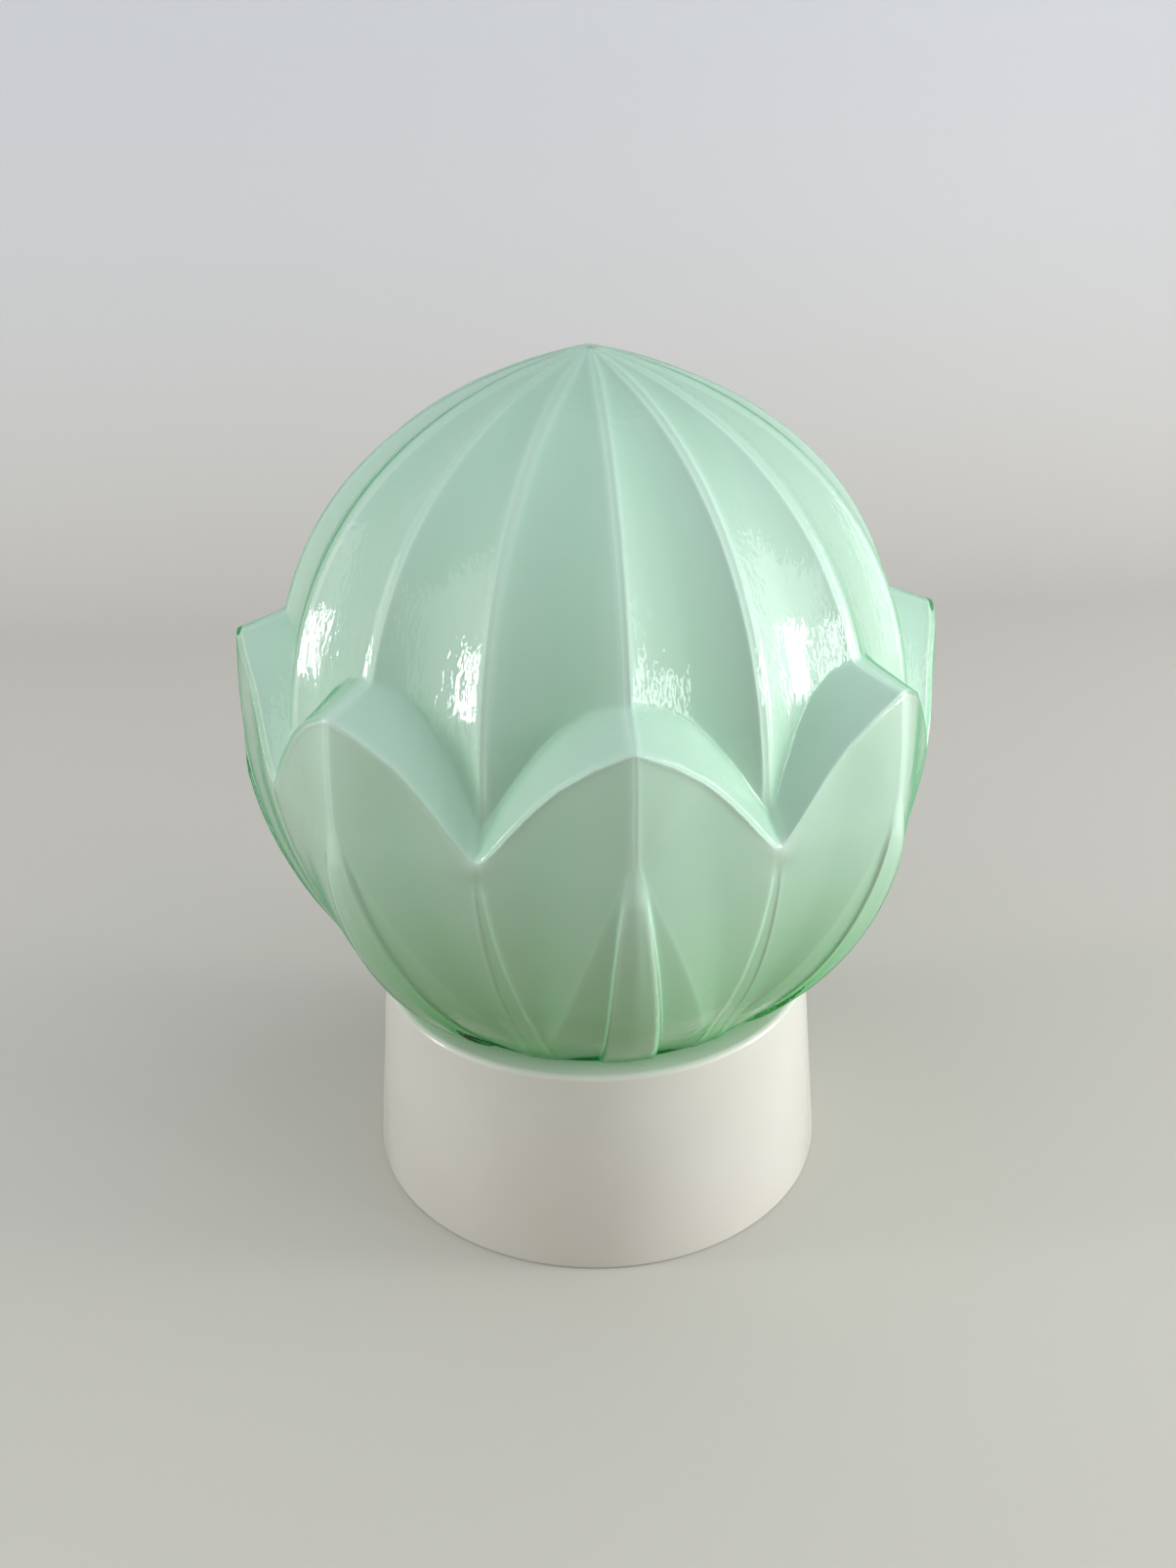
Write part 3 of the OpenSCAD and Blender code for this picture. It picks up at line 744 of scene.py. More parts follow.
def weld(piece: Piece) -> None:
    """Merge doubled points, drop faces without area and turn faces outwards.

    Args:
        piece: the object whose mesh is mended.
    """
    work = bmesh.new()
    work.from_mesh(piece.data)
    bmesh.ops.remove_doubles(work, verts=work.verts, dist=1e-7)
    bmesh.ops.dissolve_degenerate(work, edges=work.edges, dist=1e-8)
    bmesh.ops.recalc_face_normals(work, faces=work.faces)
    work.to_mesh(piece.data)
    work.free()


def arc(x: float, y: float, r: float, start: float, end: float, steps: int = 6) -> list[tuple[float, float]]:
    """Points on an arc about (x, y), from one angle to another in degrees."""
    angles = [math.radians(mix(start, end, i / steps)) for i in range(steps + 1)]
    return [(x + r * math.cos(a), y + r * math.sin(a)) for a in angles]


def crisp(piece: Piece, degrees: float = 35) -> Piece:
    """Keep edges sharper than that angle crisp under smooth shading."""
    piece.data.set_sharp_from_angle(angle=math.radians(degrees))
    return piece


def settle(piece: Piece, body: Body, nodes: tuple[str, ...], finish: SolidFinish | GlassFinish) -> Piece:
    """Dress a finished piece and tie it to the frame.

    Args:
        piece: the object, at the origin with its place in its mesh.
        body: the CAD body that it rides on.
        nodes: the CAD nodes that it stands for.
        finish: what it wears, and the record's slot.

    Returns:
        The same object.
    """
    if not any(piece.data.materials):
        piece.data.materials.clear()
        piece.data.materials.append(finish.material())
    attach(piece, body.value)
    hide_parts(*nodes)
    LOG.info("%s rides on %s and stands for %s", piece.name, body.value, ", ".join(nodes))
    return piece


def mesh_points(piece: Piece) -> Grid:
    """A piece's points, in millimetres.

    Args:
        piece: the object.

    Returns:
        An array of x, y and z.
    """
    points = np.empty(len(piece.data.vertices) * 3, np.float32)
    piece.data.vertices.foreach_get("co", points)
    return points.reshape(-1, 3) / MM


def move_points(piece: Piece, points: Grid) -> None:
    """Put a piece's points at other places, in millimetres."""
    piece.data.vertices.foreach_set("co", (points * MM).astype(np.float32).ravel())
    piece.data.update()


def soften(values: Grid, sigma: float) -> Grid:
    """Blur evenly spaced values along their last axis.

    Args:
        values: an array, mirrored at both ends of its last axis.
        sigma: width of the bell curve, in steps.

    Returns:
        The blurred array, of the same shape.
    """
    reach = int(math.ceil(3 * sigma))
    steps = np.arange(-reach, reach + 1)
    bell = np.exp(-0.5 * (steps / max(sigma, 1e-6)) ** 2)
    bell /= bell.sum()
    wide = np.pad(values, [(0, 0)] * (values.ndim - 1) + [(reach, reach)], mode="reflect")
    return np.apply_along_axis(np.convolve, -1, wide, bell, "valid")


def turned(points: Grid, degrees: float) -> Grid:
    """Points turned about the Z axis, to the right as seen from the front."""
    c, s = math.cos(math.radians(degrees)), math.sin(math.radians(degrees))
    return points @ np.array(((c, s, 0), (-s, c, 0), (0, 0, 1)))


@dataclass(frozen=True)
class LotusForm:
    """One skin of the shade, in millimetres: eight petals with ledges round a fluted dome.

    Levels are heights above the mounting face, and half angles are degrees from a petal's keel.
    A ridge is a narrow flat between two edges. Below the lancet's top, a petal's face is split into
    the lancet, the wedge beside it, a hollow cheek and a flat facet along the valley. The widths
    ending in _w are in millimetres, those in _bend are powers that bend a line, those in _rise are
    heights of the relief, and those in _round are the widths over which an edge is rounded.
    line_w is how far an edge's painted pale line of light reaches, and columns of points cluster beside each
    edge.
    """

    neck_r: float = 40.05
    neck_z: float = 33.0
    shoulder_z: float = 48.2
    tip_z: float = 191.5
    keel_r: float = 77.2
    keel_wide_z: float = 116.0
    keel_tip_r: float = 76.1
    keel_tip_z: float = 135.2
    keel_bend: float = 0.79
    valley_r: float = 73.5
    valley_z: float = 110.0
    valley_bend: float = 0.82
    valley_foot: float = 3.4
    foot_reach: float = 9.0
    corner_z: float = 115.5
    ledge_z: float = 138.8
    below_notch: float = 6.0
    lip_slope: float = 0.3
    ledge_slope: float = 0.05
    ledge_bend: float = 2.2
    dome_r: float = 69.0
    dome_low_z: float = 113.0
    dome_pull: float = 0.615
    tip_pull: float = 0.55
    tip_drop: float = 0.103
    valley_dip: float = 1.8
    lancet_z: float = 112.6
    lancet_w: float = 4.2
    lancet_bend: float = 2.2
    lancet_top_w: float = 0.8
    lancet_top_fall: float = 0.03
    wedge_w: float = 16.2
    wedge_bend: float = 1.6
    wedge_most: float = 0.72
    facet_w: tuple[float, float] = (0.9, 2.4)
    facet_widening: float = 0.04
    facet_edge_w: float = 0.6
    fold_w: float = 1.8
    hollow: float = 1.4
    flute: float = 0.046
    lancet_rise: float = 1.15
    toe_rise: float = 1.3
    tongue_rise: float = 0.35
    wedge_rise: float = 0.22
    edge_rise: float = 0.25
    notch_round: float = 0.045
    ridge_w: float = 0.9
    ridge_most: float = 0.14
    keel_w: float = 0.5
    petals: int = 8
    neck_rows: int = 22
    belly_rows: int = 36
    arch_rows: int = 26
    ledge_rows: int = 14
    dome_rows: int = 50
    dome_end: float = 0.997
    fine_steps: int = 901
    edge_round: float = 0.33
    wedge_round: float = 0.9
    lip_round: float = 0.38
    crease_round: float = 0.65
    line_w: float = 0.8
    cluster: tuple[float, ...] = (0.2, 0.5, 1.1)
    fill: tuple[int, ...] = (0, 1, 4, 1)

    @property
    def half(self) -> float:
        """Half of a petal's angle, in degrees."""
        return 180 / self.petals

    @property
    def arch_z(self) -> float:
        """Height from which the rows of points rise with the lip."""
        return self.valley_z - self.below_notch

    def belly(self, wide: float, wide_z: float, bend: float, z: Grid) -> Grid:
        """Radius of a swelling line from the shoulder up to its widest level."""
        rise = 1 - ((wide_z - z) / (wide_z - self.shoulder_z)) ** 2
        return self.neck_r + (wide - self.neck_r) * np.maximum(0, rise) ** bend

    def keel_at(self, z: Grid) -> Grid:
        """Radius of a petal's keel at a height.

        Args:
            z: heights in millimetres.

        Returns:
            Radii in millimetres.
        """
        low = self.belly(self.keel_r, self.keel_wide_z, self.keel_bend, np.minimum(z, self.keel_wide_z))
        above = np.maximum(0, (z - self.keel_wide_z) / (self.keel_tip_z - self.keel_wide_z))
        return low - (self.keel_r - self.keel_tip_r) * above**2

    def valley_at(self, z: Grid) -> Grid:
        """Radius of the valley between two petals at a height.

        Args:
            z: heights in millimetres.

        Returns:
            Radii in millimetres.
        """
        level = np.minimum(z, self.valley_z)
        foot = self.valley_foot * np.exp(-(((level - self.shoulder_z) / self.foot_reach) ** 2))
        dip = self.valley_dip * np.sin(np.pi * (self.valley_z - level) / (self.valley_z - self.shoulder_z))
        return self.belly(self.valley_r, self.valley_z, self.valley_bend, level) + foot - dip

    def edges_at(self, z: Grid) -> list[Grid]:
        """Half angles of the lancet's, wedge's and valley facet's edges at a height.

        Args:
            z: heights in millimetres.

        Returns:
            Three arrays of half angles, in degrees.
        """
        fall = self.growth_at(z)
        degrees = np.degrees(1 / self.keel_at(z))
        top = self.lancet_top_w * (1 - np.exp(-fall / self.lancet_top_fall))
        lancet = self.keel_w + top + self.lancet_w * (1 - (1 - fall) ** self.lancet_bend)
        wedge = 2 * self.keel_w + self.wedge_w * (1 - (1 - fall) ** self.wedge_bend)
        least, most = self.facet_w
        facet = np.clip(least + self.facet_widening * (self.valley_z - z), least, most)
        return [
            lancet * degrees,
            np.minimum(wedge * degrees, self.wedge_most * self.half),
            self.half - facet * degrees,
        ]

    def growth_at(self, z: Grid) -> Grid:
        """How far the lancet has opened at a height, from 0 at its top to 1 at the shoulder."""
        return np.clip((self.lancet_z - z) / (self.lancet_z - self.shoulder_z), 0, 1)

    def relief_at(self, h: Grid, z: Grid) -> Grid:
        """How far the petal stands off the line from keel to valley at a half angle and height.

        Args:
            h: half angles from the keel, in degrees.
            z: heights in millimetres.

        Returns:
            Heights of the relief, in millimetres.
        """
        grown = self.growth_at(z)
        lancet, wedge, valley = self.edges_at(z)
        share = np.clip((h - wedge) / (valley - wedge), 0, 1)
        deep = self.hollow * np.minimum(1, (valley - wedge) / self.half)
        reach = np.radians(1) * self.keel_at(z)
        beside = np.clip(1 - (h - valley) * reach / self.facet_edge_w, 0, 1)
        edge = self.edge_rise * np.minimum(1, 3 * grown) * beside
        step = np.clip((wedge - h) * reach / self.fold_w + 0.5, 0, 1)
        fold = self.wedge_rise * np.minimum(1, 4 * grown) * step * step * (3 - 2 * step)
        tongue = (self.lancet_rise * np.minimum(1, 6 * grown) + self.toe_rise * grown**3) * (h < lancet)
        crown = self.tongue_rise * np.minimum(1, 2 * grown) * np.clip(1 - (h / lancet) ** 2, 0, 1)
        return edge + fold + tongue + crown - deep * np.sin(np.pi * share) ** 2

    def petal_at(self, h: Grid, z: Grid) -> Grid:
        """Radius of a petal at a half angle and height.

        Args:
            h: half angles from the keel, in degrees.
            z: heights in millimetres.

        Returns:
            Radii in millimetres.
        """
        ridge = math.degrees(self.keel_w / self.keel_r)
        across = np.clip((h - ridge) / (self.edges_at(z)[2] - ridge), 0, 1)
        share = across ** (1 + 1.5 * self.growth_at(z) ** 2)
        keel = self.keel_at(z)
        return keel + (self.valley_at(z) - keel) * share + self.relief_at(h, z)

    def lip_z(self, u: Grid) -> Grid:
        """Height of a petal's lip, from the keel (0) to the valley (1).

        Args:
            u: shares of the way from keel to valley.

        Returns:
            Heights in millimetres.
        """
        round_ = self.notch_round
        u = 1 + 0.5 * round_ - np.sqrt((1 - u) ** 2 + round_**2)
        fall = self.lip_slope * u + (1 - self.lip_slope) * u * u
        return self.valley_z + (self.keel_tip_z - self.valley_z) * (1 - fall)

    def ledge_corner_z(self, u: Grid) -> Grid:
        """Height of the corner between ledge and dome, from the keel (0) to the valley (1)."""
        fall = self.ledge_slope * u + (1 - self.ledge_slope) * u**self.ledge_bend
        return self.corner_z + (self.ledge_z - self.corner_z) * (1 - fall)

    def ridge_at(self, t: Grid) -> tuple[Grid, Grid]:
        """Radius and height of a dome ridge at a share of its curve.

        Args:
            t: shares of the curve, from the ledge to the tip.

        Returns:
            Radii and heights in millimetres.
        """
        tall = self.tip_z - self.dome_low_z
        a, b, c, d = cubic(t)
        radius = (a + b + self.tip_pull * c) * self.dome_r
        height = a * self.dome_low_z + b * (self.dome_low_z + self.dome_pull * tall)
        return radius, height + c * (self.tip_z - self.tip_drop * tall) + d * self.tip_z

    def ridge_share(self, z: Grid) -> Grid:
        """Share of a dome ridge's curve at a height."""
        shares = np.linspace(0, 1, 4001)
        return np.interp(z, self.ridge_at(shares)[1], shares)

    def arch_at(self, h: Grid, share: float) -> tuple[Grid, Grid]:
        """Radius and height of a petal at a share of the way from below its lip up to the lip."""
        z = mix(self.arch_z, self.lip_z(h / self.half), share)
        return self.petal_at(h, z), z

    def dome_at(self, h: Grid, share: float) -> tuple[Grid, Grid]:
        """Radius and height of the dome at a share of the way from the ledge up to the tip.

        Args:
            h: half angles from the keel, in degrees.
            share: 0 at the ledge and 1 at the tip.

        Returns:
            Radii and heights in millimetres.
        """
        start = self.ridge_share(self.ledge_corner_z(h / self.half))
        radius, height = self.ridge_at(mix(start, 1, share))
        ridge = np.degrees(self.ridge_w / np.maximum(radius, 1))
        ridge = np.minimum(ridge, self.ridge_most * self.half)
        v = np.clip((h - ridge) / (self.half - 2 * ridge), 0, 1)
        return radius * (1 - self.flute * 4 * v * (1 - v)), height

    def ledge_at(self, h: Grid, share: float) -> tuple[Grid, Grid]:
        """Radius and height of the ledge at a share of the way from the lip to the dome.

        Args:
            h: half angles from the keel, in degrees.
            share: 0 at the lip and 1 at the dome.

        Returns:
            Radii and heights in millimetres.
        """
        lip = self.arch_at(h, 1)
        corner = self.dome_at(h, 0)
        return mix(lip[0], corner[0], share), mix(lip[1], corner[1], share)

    def columns(self, bounds: list[float], radius: float) -> Grid:
        """Half angles of the columns: clusters beside each bound, evenly filled between them.

        Args:
            bounds: half angles of the edges, from the keel to the valley.
            radius: the row's radius.

        Returns:
            Half angles in degrees.
        """
        near = np.degrees(np.array(self.cluster) / radius)
        most = np.linspace(0.1, 0.4, len(near))
        parts = [np.array(bounds[:1])]
        for low, high, count in zip(bounds, bounds[1:], self.fill):
            side = np.minimum(near, (high - low) * most)
            inner = np.linspace(low + side[-1], high - side[-1], count + 2)[1:-1]
            parts += [low + side, inner, (high - side)[::-1], np.array([high])]
        return np.concatenate(parts)

    def even_bounds(self, radius: float, width: float) -> list[float]:
        """Half angles that the columns follow on the dome: its ridges' edges, and the middle.

        Args:
            radius: the row's radius.
            width: half width of the ridge over the keel.

        Returns:
            Half angles in degrees.
        """
        most = self.ridge_most * self.half
        ridge, other = (min(math.degrees(w / radius), most) for w in (width, self.ridge_w))
        return [0.0, ridge, self.half / 2, self.half - other, self.half]

    def edge_bounds(self, z: float) -> list[float]:
        """Half angles that the columns follow on a petal at a height."""
        return [0.0, *(float(e) for e in self.edges_at(np.array(z))), self.half]

    def row(
        self,
        bounds: list[float],
        reach: float,
        outline: Callable[[Grid], tuple[Grid, Grid]],
        wedge: tuple[float, float] = (0, 0),
        edge_light: tuple[float, float, float, float] = (0.5, 0.8, 0.5, 0.3),
    ) -> tuple[Grid, Grid, Grid, Grid]:
        """One row of points over half a petal, its edges rounded.

        Args:
            bounds: half angles that the columns follow, of which the second and fourth are edges.
            reach: the row's radius.
            outline: gives radius and height at half angles.
            wedge: half angle of the wedge's edge, which is rounder, and how much of it there is.
            edge_light: painted light along the inner edge and how far it reaches, painted light along the
                outer edge, and painted light on the flat inside the inner edge.

        Returns:
            Half angles, radii, heights, and the weight of painted light along the edges at each point, from 0
            to 1.
        """
        fine = np.linspace(0, self.half, self.fine_steps)
        step = math.radians(fine[1]) * reach
        line = np.stack(outline(fine))
        keen = soften(line, min(self.edge_round * edge_light[1] / self.line_w / step, 60))
        round_ = soften(line, min(self.wedge_round / step, 120))
        near = wedge[1] * np.exp(-((np.radians(fine - wedge[0]) * reach / (2.5 * self.wedge_round)) ** 2))
        line = keen + (round_ - keen) * near
        h = self.columns(bounds, reach)
        lines = (
            (bounds[1], edge_light[0], edge_light[1]),
            (wedge[0], 0.3 * wedge[1], self.line_w),
            (bounds[3], edge_light[2], self.line_w),
        )
        # painted light: pale lines along the edges and on the flats between them
        close = [s * np.exp(-((np.radians(h - bound) * reach / w) ** 2)) for bound, s, w in lines]
        close.append(np.where(h < bounds[1], edge_light[3], np.where(h > bounds[3], 0.6 * edge_light[2], 0)))
        return h, np.interp(h, fine, line[0]), np.interp(h, fine, line[1]), np.max(close, axis=0)

    def skin(self) -> Grid:
        """Rows of (half angle, radius, height, edge) over half a petal, from the neck to the tip.

        Returns:
            An array over (row, value, column).
        """
        even = self.even_bounds(self.keel_r, self.keel_w)
        rows = []
        for z in np.linspace(self.neck_z, self.shoulder_z - 1.5, self.neck_rows):
            rows.append(self.row(even, self.neck_r, lambda h: (0 * h + self.neck_r, 0 * h + z)))
            rows[-1][3][:] = 0
        for s in np.linspace(0, 1, self.belly_rows) ** 1.3:
            z = mix(self.shoulder_z, self.arch_z, s)
            bounds = self.edge_bounds(z)
            reach = float(self.keel_at(np.array(z)))
            level = lambda h: (self.petal_at(h, 0 * h + z), 0 * h + z)
            grown = float(np.clip((self.lancet_z - z) / 1.2, 0, 1))
            # painted light along the lancet's and wedge's edges at this height
            edge_light = (
                mix(0.7, 1, grown),
                mix(self.line_w, 0.55, grown),
                mix(0.5, 0.85, grown),
                0.6 * (1 - grown),
            )
            rows.append(self.row(bounds, reach, level, (bounds[2], 1), edge_light))
        for s in np.sin(np.linspace(0, np.pi / 2, self.arch_rows + 1)[1:]):
            edges = self.edge_bounds(mix(self.arch_z, self.keel_tip_z, s))
            spread = np.clip((s - 1 / 3) * 1.5, 0, 1)
            bounds = [mix(a, b, spread) for a, b in zip(edges, even)]
            wedge = (edges[2], float(np.clip(1 - 4 * spread, 0, 1)))
            edge_light = (0.7, self.line_w, 0.5, 0.6)
            rows.append(self.row(bounds, self.keel_r, lambda h: self.arch_at(h, s), wedge, edge_light))
        for s in (1 - np.cos(np.linspace(0, np.pi, self.ledge_rows + 1)[1:-1])) / 2:
            even = self.even_bounds(self.dome_r, mix(self.keel_w, self.ridge_w, s))
            rows.append(self.row(even, self.dome_r, lambda h: self.ledge_at(h, s)))
        for s in np.minimum(1 - np.cos(np.linspace(0, np.pi / 2, self.dome_rows)), self.dome_end):
            reach = float(self.ridge_at(np.array(s))[0])
            rows.append(self.row(self.even_bounds(reach, self.ridge_w), reach, lambda h: self.dome_at(h, s)))
        return np.array(rows)

    def sparse_rows(self) -> Grid:
        """Numbers of the rows that are enough for a hidden skin, closest together at the ledge.

        Returns:
            Row numbers, from the neck up.
        """
        parts = []
        first = 0
        counts = (self.neck_rows, self.belly_rows, self.arch_rows, self.ledge_rows - 1, self.dome_rows)
        for count, stride in zip(counts, (9, 6, 4, 3, 6)):
            parts.append(np.arange(first, first + count, stride))
            first += count
        return np.unique(np.concatenate([*parts, [first - 1]]))

    def sector(self) -> tuple[Grid, Grid]:
        """One petal from valley to valley, its lip and ledge rounded.

        Returns:
            Rows of points, and the weight of painted light along the edges at each, from 0 to 1.
        """
        half = self.skin()
        whole = np.concatenate([half[:, :, :0:-1], half], axis=2)
        whole[:, 0, : half.shape[2] - 1] *= -1
        turns, radius, height, close = np.moveaxis(whole, 1, 0)
        turns = np.radians(turns)
        points = np.stack([radius * np.sin(turns), -radius * np.cos(turns), height], axis=-1)
        lip = self.belly_rows + self.arch_rows - 1
        step = 0.08
        for j in range(points.shape[1]):
            line = points[self.neck_rows :, j]
            along = np.concatenate([[0], np.cumsum(np.linalg.norm(np.diff(line, axis=0), axis=1))])
            even = np.arange(0, along[-1] + step, step)
            fine = np.stack([np.interp(even, along, line[:, k]) for k in range(3)])
            round_ = soften(fine, self.lip_round / step)
            crease = along[lip + self.ledge_rows]
            near = np.exp(-(((even - crease) / (2.5 * self.crease_round)) ** 2))
            round_ += near * (soften(fine, self.crease_round / step) - round_)
            free = np.clip(np.minimum(along, along[-1] - along) / (3 * self.lip_round), 0, 1)
            for k in range(3):
                line[:, k] += free * (np.interp(along, even, round_[k]) - line[:, k])
            # painted light: a pale band along the lip
            beside = 0.4 * np.exp(-(((along - along[lip]) / (1.1 * self.line_w)) ** 2))
            close[self.neck_rows :, j] = np.maximum(close[self.neck_rows :, j], beside)
        return points, close


@dataclass
class Shade:
    """The glass shade: a clear green casing fused over an opal lining, in millimetres.

    The casing is thinner along its edges and in its notches, and thicker towards its foot and hem.
    tip_deep is how much deeper than the wall the casing's and the lining's inner tips lie.
    """

    casing: LotusForm = LotusForm()
    casing_t: float = 1.7
    foot_t: float = 1.1
    hem_t: float = 1.4
    hem_reach: float = 2.5
    overlap: float = 0.5
    thinning: float = 0.15
    notch_thinning: float = 0.35
    notch_w: float = 3.0
    tip_deep: tuple[float, float] = (1.4, 1.6)
    evenness: float = 3.0
    bead_h: float = 2.2
    bead_w: float = 3.0
    bead_rise: float = 2.6
    pitch: float = 6.0
    turns: float = 1.2
    fade: float = 0.06
    wall: float = 3.5
    neck_wall: float = 4.0
    twist: float = 2.8
    twist_bend: float = 1.5

    def shell(self, name: str, outer: Grid, inner: Grid, tips: tuple[float, float]) -> Piece:
        """One petal's worth of a shell with an outer and an inner skin, joined at the neck's foot.

        Args:
            name: the piece's name.
            outer: rows of points of the outer skin, from the foot up.
            inner: rows of points of the inner skin, from the foot up.
            tips: heights of the outer and the inner tip.

        Returns:
            The sector as an object.
        """
        strip = np.concatenate([inner[::-1], outer])
        rows, cols = strip.shape[:2]
        faces = grid_faces(rows, cols, False)
        points = np.concatenate([strip.reshape(-1, 3), [(0, 0, tips[0]), (0, 0, tips[1])]])
        first = rows * cols
        faces += [((rows - 1) * cols + j, (rows - 1) * cols + j + 1, first) for j in range(cols - 1)]
        faces += [(j + 1, j, first + 1) for j in range(cols - 1)]
        return make_piece(name, points, faces)

    def plain_inside(self, cols: int) -> Grid:
        """The lining's smooth inner skin over one petal, from the neck's foot up to the tip.

        Args:
            cols: points in a row.

        Returns:
            Rows of points in millimetres.
        """
        form = self.casing
        shares = np.linspace(0.02, 0.975, 14)
        radius, height = form.ridge_at(shares)
        slope = np.stack([np.gradient(radius), np.gradient(height)])
        slope /= np.linalg.norm(slope, axis=0)
        dome = np.stack([radius * (1 - form.flute) - self.wall * slope[1], height + self.wall * slope[0]], 1)
        levels = np.linspace(form.shoulder_z + self.wall, form.arch_z, 10)
        belly_r = np.maximum(form.neck_r - self.neck_wall, form.valley_at(levels) - form.hollow - self.wall)
        belly = np.stack([belly_r, levels], 1)
        neck_r = form.neck_r - self.neck_wall
        neck = np.array([(neck_r, z) for z in np.linspace(form.neck_z, form.shoulder_z + 0.5, 3)])
        profile = np.concatenate([neck, belly, dome])
        turns = np.radians(np.linspace(-form.half, form.half, cols))
        return np.stack(
            [
                profile[:, :1] * np.sin(turns),
                -profile[:, :1] * np.cos(turns),
                np.repeat(profile[:, 1:], cols, 1),
            ],
            axis=-1,
        )

    def turn_foot(self, piece: Piece) -> None:
        """Turn a shell more and more to the right below the petals' notches, as pressing left it.

        Args:
            piece: the casing or the lining.
        """
        form = self.casing
        points = mesh_points(piece)
        low = np.clip((form.valley_z - points[:, 2]) / (form.valley_z - form.shoulder_z), 0, 1)
        turn = math.radians(self.twist) * low**self.twist_bend
        x, y = points[:, 0].copy(), points[:, 1].copy()
        points[:, 0] = x * np.cos(turn) - y * np.sin(turn)
        points[:, 1] = x * np.sin(turn) + y * np.cos(turn)
        move_points(piece, points)

    def add_bead(self, piece: Piece, least_r: float) -> None:
        """Raise the screw bead on the points of a neck that lie outside a radius.

        Args:
            piece: the casing.
            least_r: the radius, in millimetres.
        """
        points = mesh_points(piece)
        radius = np.hypot(points[:, 0], points[:, 1])
        turn = (np.arctan2(points[:, 0], -points[:, 1]) / math.tau) % 1
        height = points[:, 2] - self.casing.neck_z - self.bead_rise
        nearest = np.round(height / self.pitch - turn) + turn
        off = np.abs(height - self.pitch * nearest) / (self.bead_w / 2)
        fading = np.clip(np.minimum(nearest, self.turns - nearest) / self.fade, 0, 1)
        bump = np.where(off < 1, fading * self.bead_h * (1 + np.cos(np.pi * off)) / 2, 0)
        bump *= (radius > least_r) & (points[:, 2] < self.casing.shoulder_z - 1)
        points[:, :2] *= ((radius + bump) / np.maximum(radius, 1e-6))[:, None]
        move_points(piece, points)

    def inward(self, points: Grid) -> Grid:
        """Directions into the glass at a sector's points, evened out along each row and column.

        Args:
            points: rows of points over one petal.

        Returns:
            Unit vectors, in the same order.
        """
        cols = points.shape[1]
        step = 2 * self.casing.half
        points = np.concatenate([turned(points[:, :-1], -step), points, turned(points[:, 1:], step)], axis=1)
        normal = np.cross(np.gradient(points, axis=0), np.gradient(points, axis=1))
        normal /= np.linalg.norm(normal, axis=-1, keepdims=True) + 1e-9
        for axis in (1, 0):
            steps = np.linalg.norm(np.diff(points, axis=axis), axis=-1)
            along = np.concatenate([np.zeros_like(steps.take([0], axis)), np.cumsum(steps, axis)], axis)
            normal = np.moveaxis(normal, axis, 0)
            along = np.moveaxis(along, axis, 0)
            weight = np.exp(-(((along[:, None] - along[None]) / self.evenness) ** 2))
            weight *= np.gradient(along, axis=0)[None] + 1e-9
            normal = np.einsum("abj,bjk->ajk", weight, normal)
            normal /= np.linalg.norm(normal, axis=-1, keepdims=True) + 1e-9
            normal = np.moveaxis(normal, 0, axis)
        normal = normal[:, cols - 1 : 2 * cols - 1]
        for column, turn in ((0, -self.casing.half), (-1, self.casing.half)):
            across = np.array((math.cos(math.radians(turn)), math.sin(math.radians(turn)), 0))
            normal[:, column] -= (normal[:, column] @ across)[:, None] * across
        return normal

    def paint_edge_light(self, lining: Piece, close: Grid, inside_rows: int) -> None:
        """Store on the lining the weight of painted light along the glass's edges, where those edges gather
        light.

        Args:
            lining: one petal of the lining, its inside first.
            close: the weight of painted light, from 0 to 1, for each point of its outer skin.
            inside_rows: rows of its inner skin.
        """
        values = np.zeros(len(lining.data.vertices), np.float32)
        first = inside_rows * close.shape[1]
        values[first : first + close.size] = close.ravel()
        lining.data.attributes.new(EDGE_LIGHT, "FLOAT", "POINT").data.foreach_set("value", values)

    def build(self, copies: TurnedCopies) -> None:
        """Make and dress the casing and the lining.

        Args:
            copies: the tree that makes rings of copies.
        """
        form = self.casing
        finish = Finishes.CASING.value
        outer, close = form.sector()
        inward = self.inward(outer)
        half = math.radians(form.half)
        notch = (form.valley_r * math.sin(half), -form.valley_r * math.cos(half), form.valley_z)
        mirrored = np.stack([np.abs(outer[..., 0]), outer[..., 1], outer[..., 2]], -1)
        away = np.linalg.norm(mirrored - np.array(notch), axis=-1)
        pinch = self.notch_thinning * np.exp(-((away / self.notch_w) ** 2))
        thin = np.maximum(self.thinning * close, pinch)
        level = outer[..., 2]
        hem = np.exp(-(((level - form.shoulder_z) / self.hem_reach) ** 2)) * (level >= form.shoulder_z)
        foot = self.foot_t * form.growth_at(level) ** 2 + self.hem_t * hem
        depth = (self.casing_t * (1 - thin) + foot)[..., None]
        skin = outer + depth * inward
        buried = outer + (depth + self.overlap) * inward
        rows = form.sparse_rows()
        deep, inner_deep = self.tip_deep
        tips = (form.tip_z, form.tip_z - deep * (self.casing_t + self.overlap))
        casing = self.shell("shade_casing", outer, buried[rows], tips)
        copies.apply(casing, form.petals, finish.material())
        self.turn_foot(casing)
        self.add_bead(casing, form.neck_r - 0.5)
        settle(casing, Body.SHADE, ("glass_shade",), finish)
        inside = self.plain_inside(outer.shape[1])
        tips = (form.tip_z - deep * self.casing_t, form.tip_z - inner_deep * self.wall)
        lining = self.shell("shade_lining", skin, inside, tips)
        self.paint_edge_light(lining, close, len(inside))
        copies.apply(lining, form.petals, OPAL.material())
        self.turn_foot(lining)
        settle(lining, Body.SHADE, ("glass_shade",), finish)


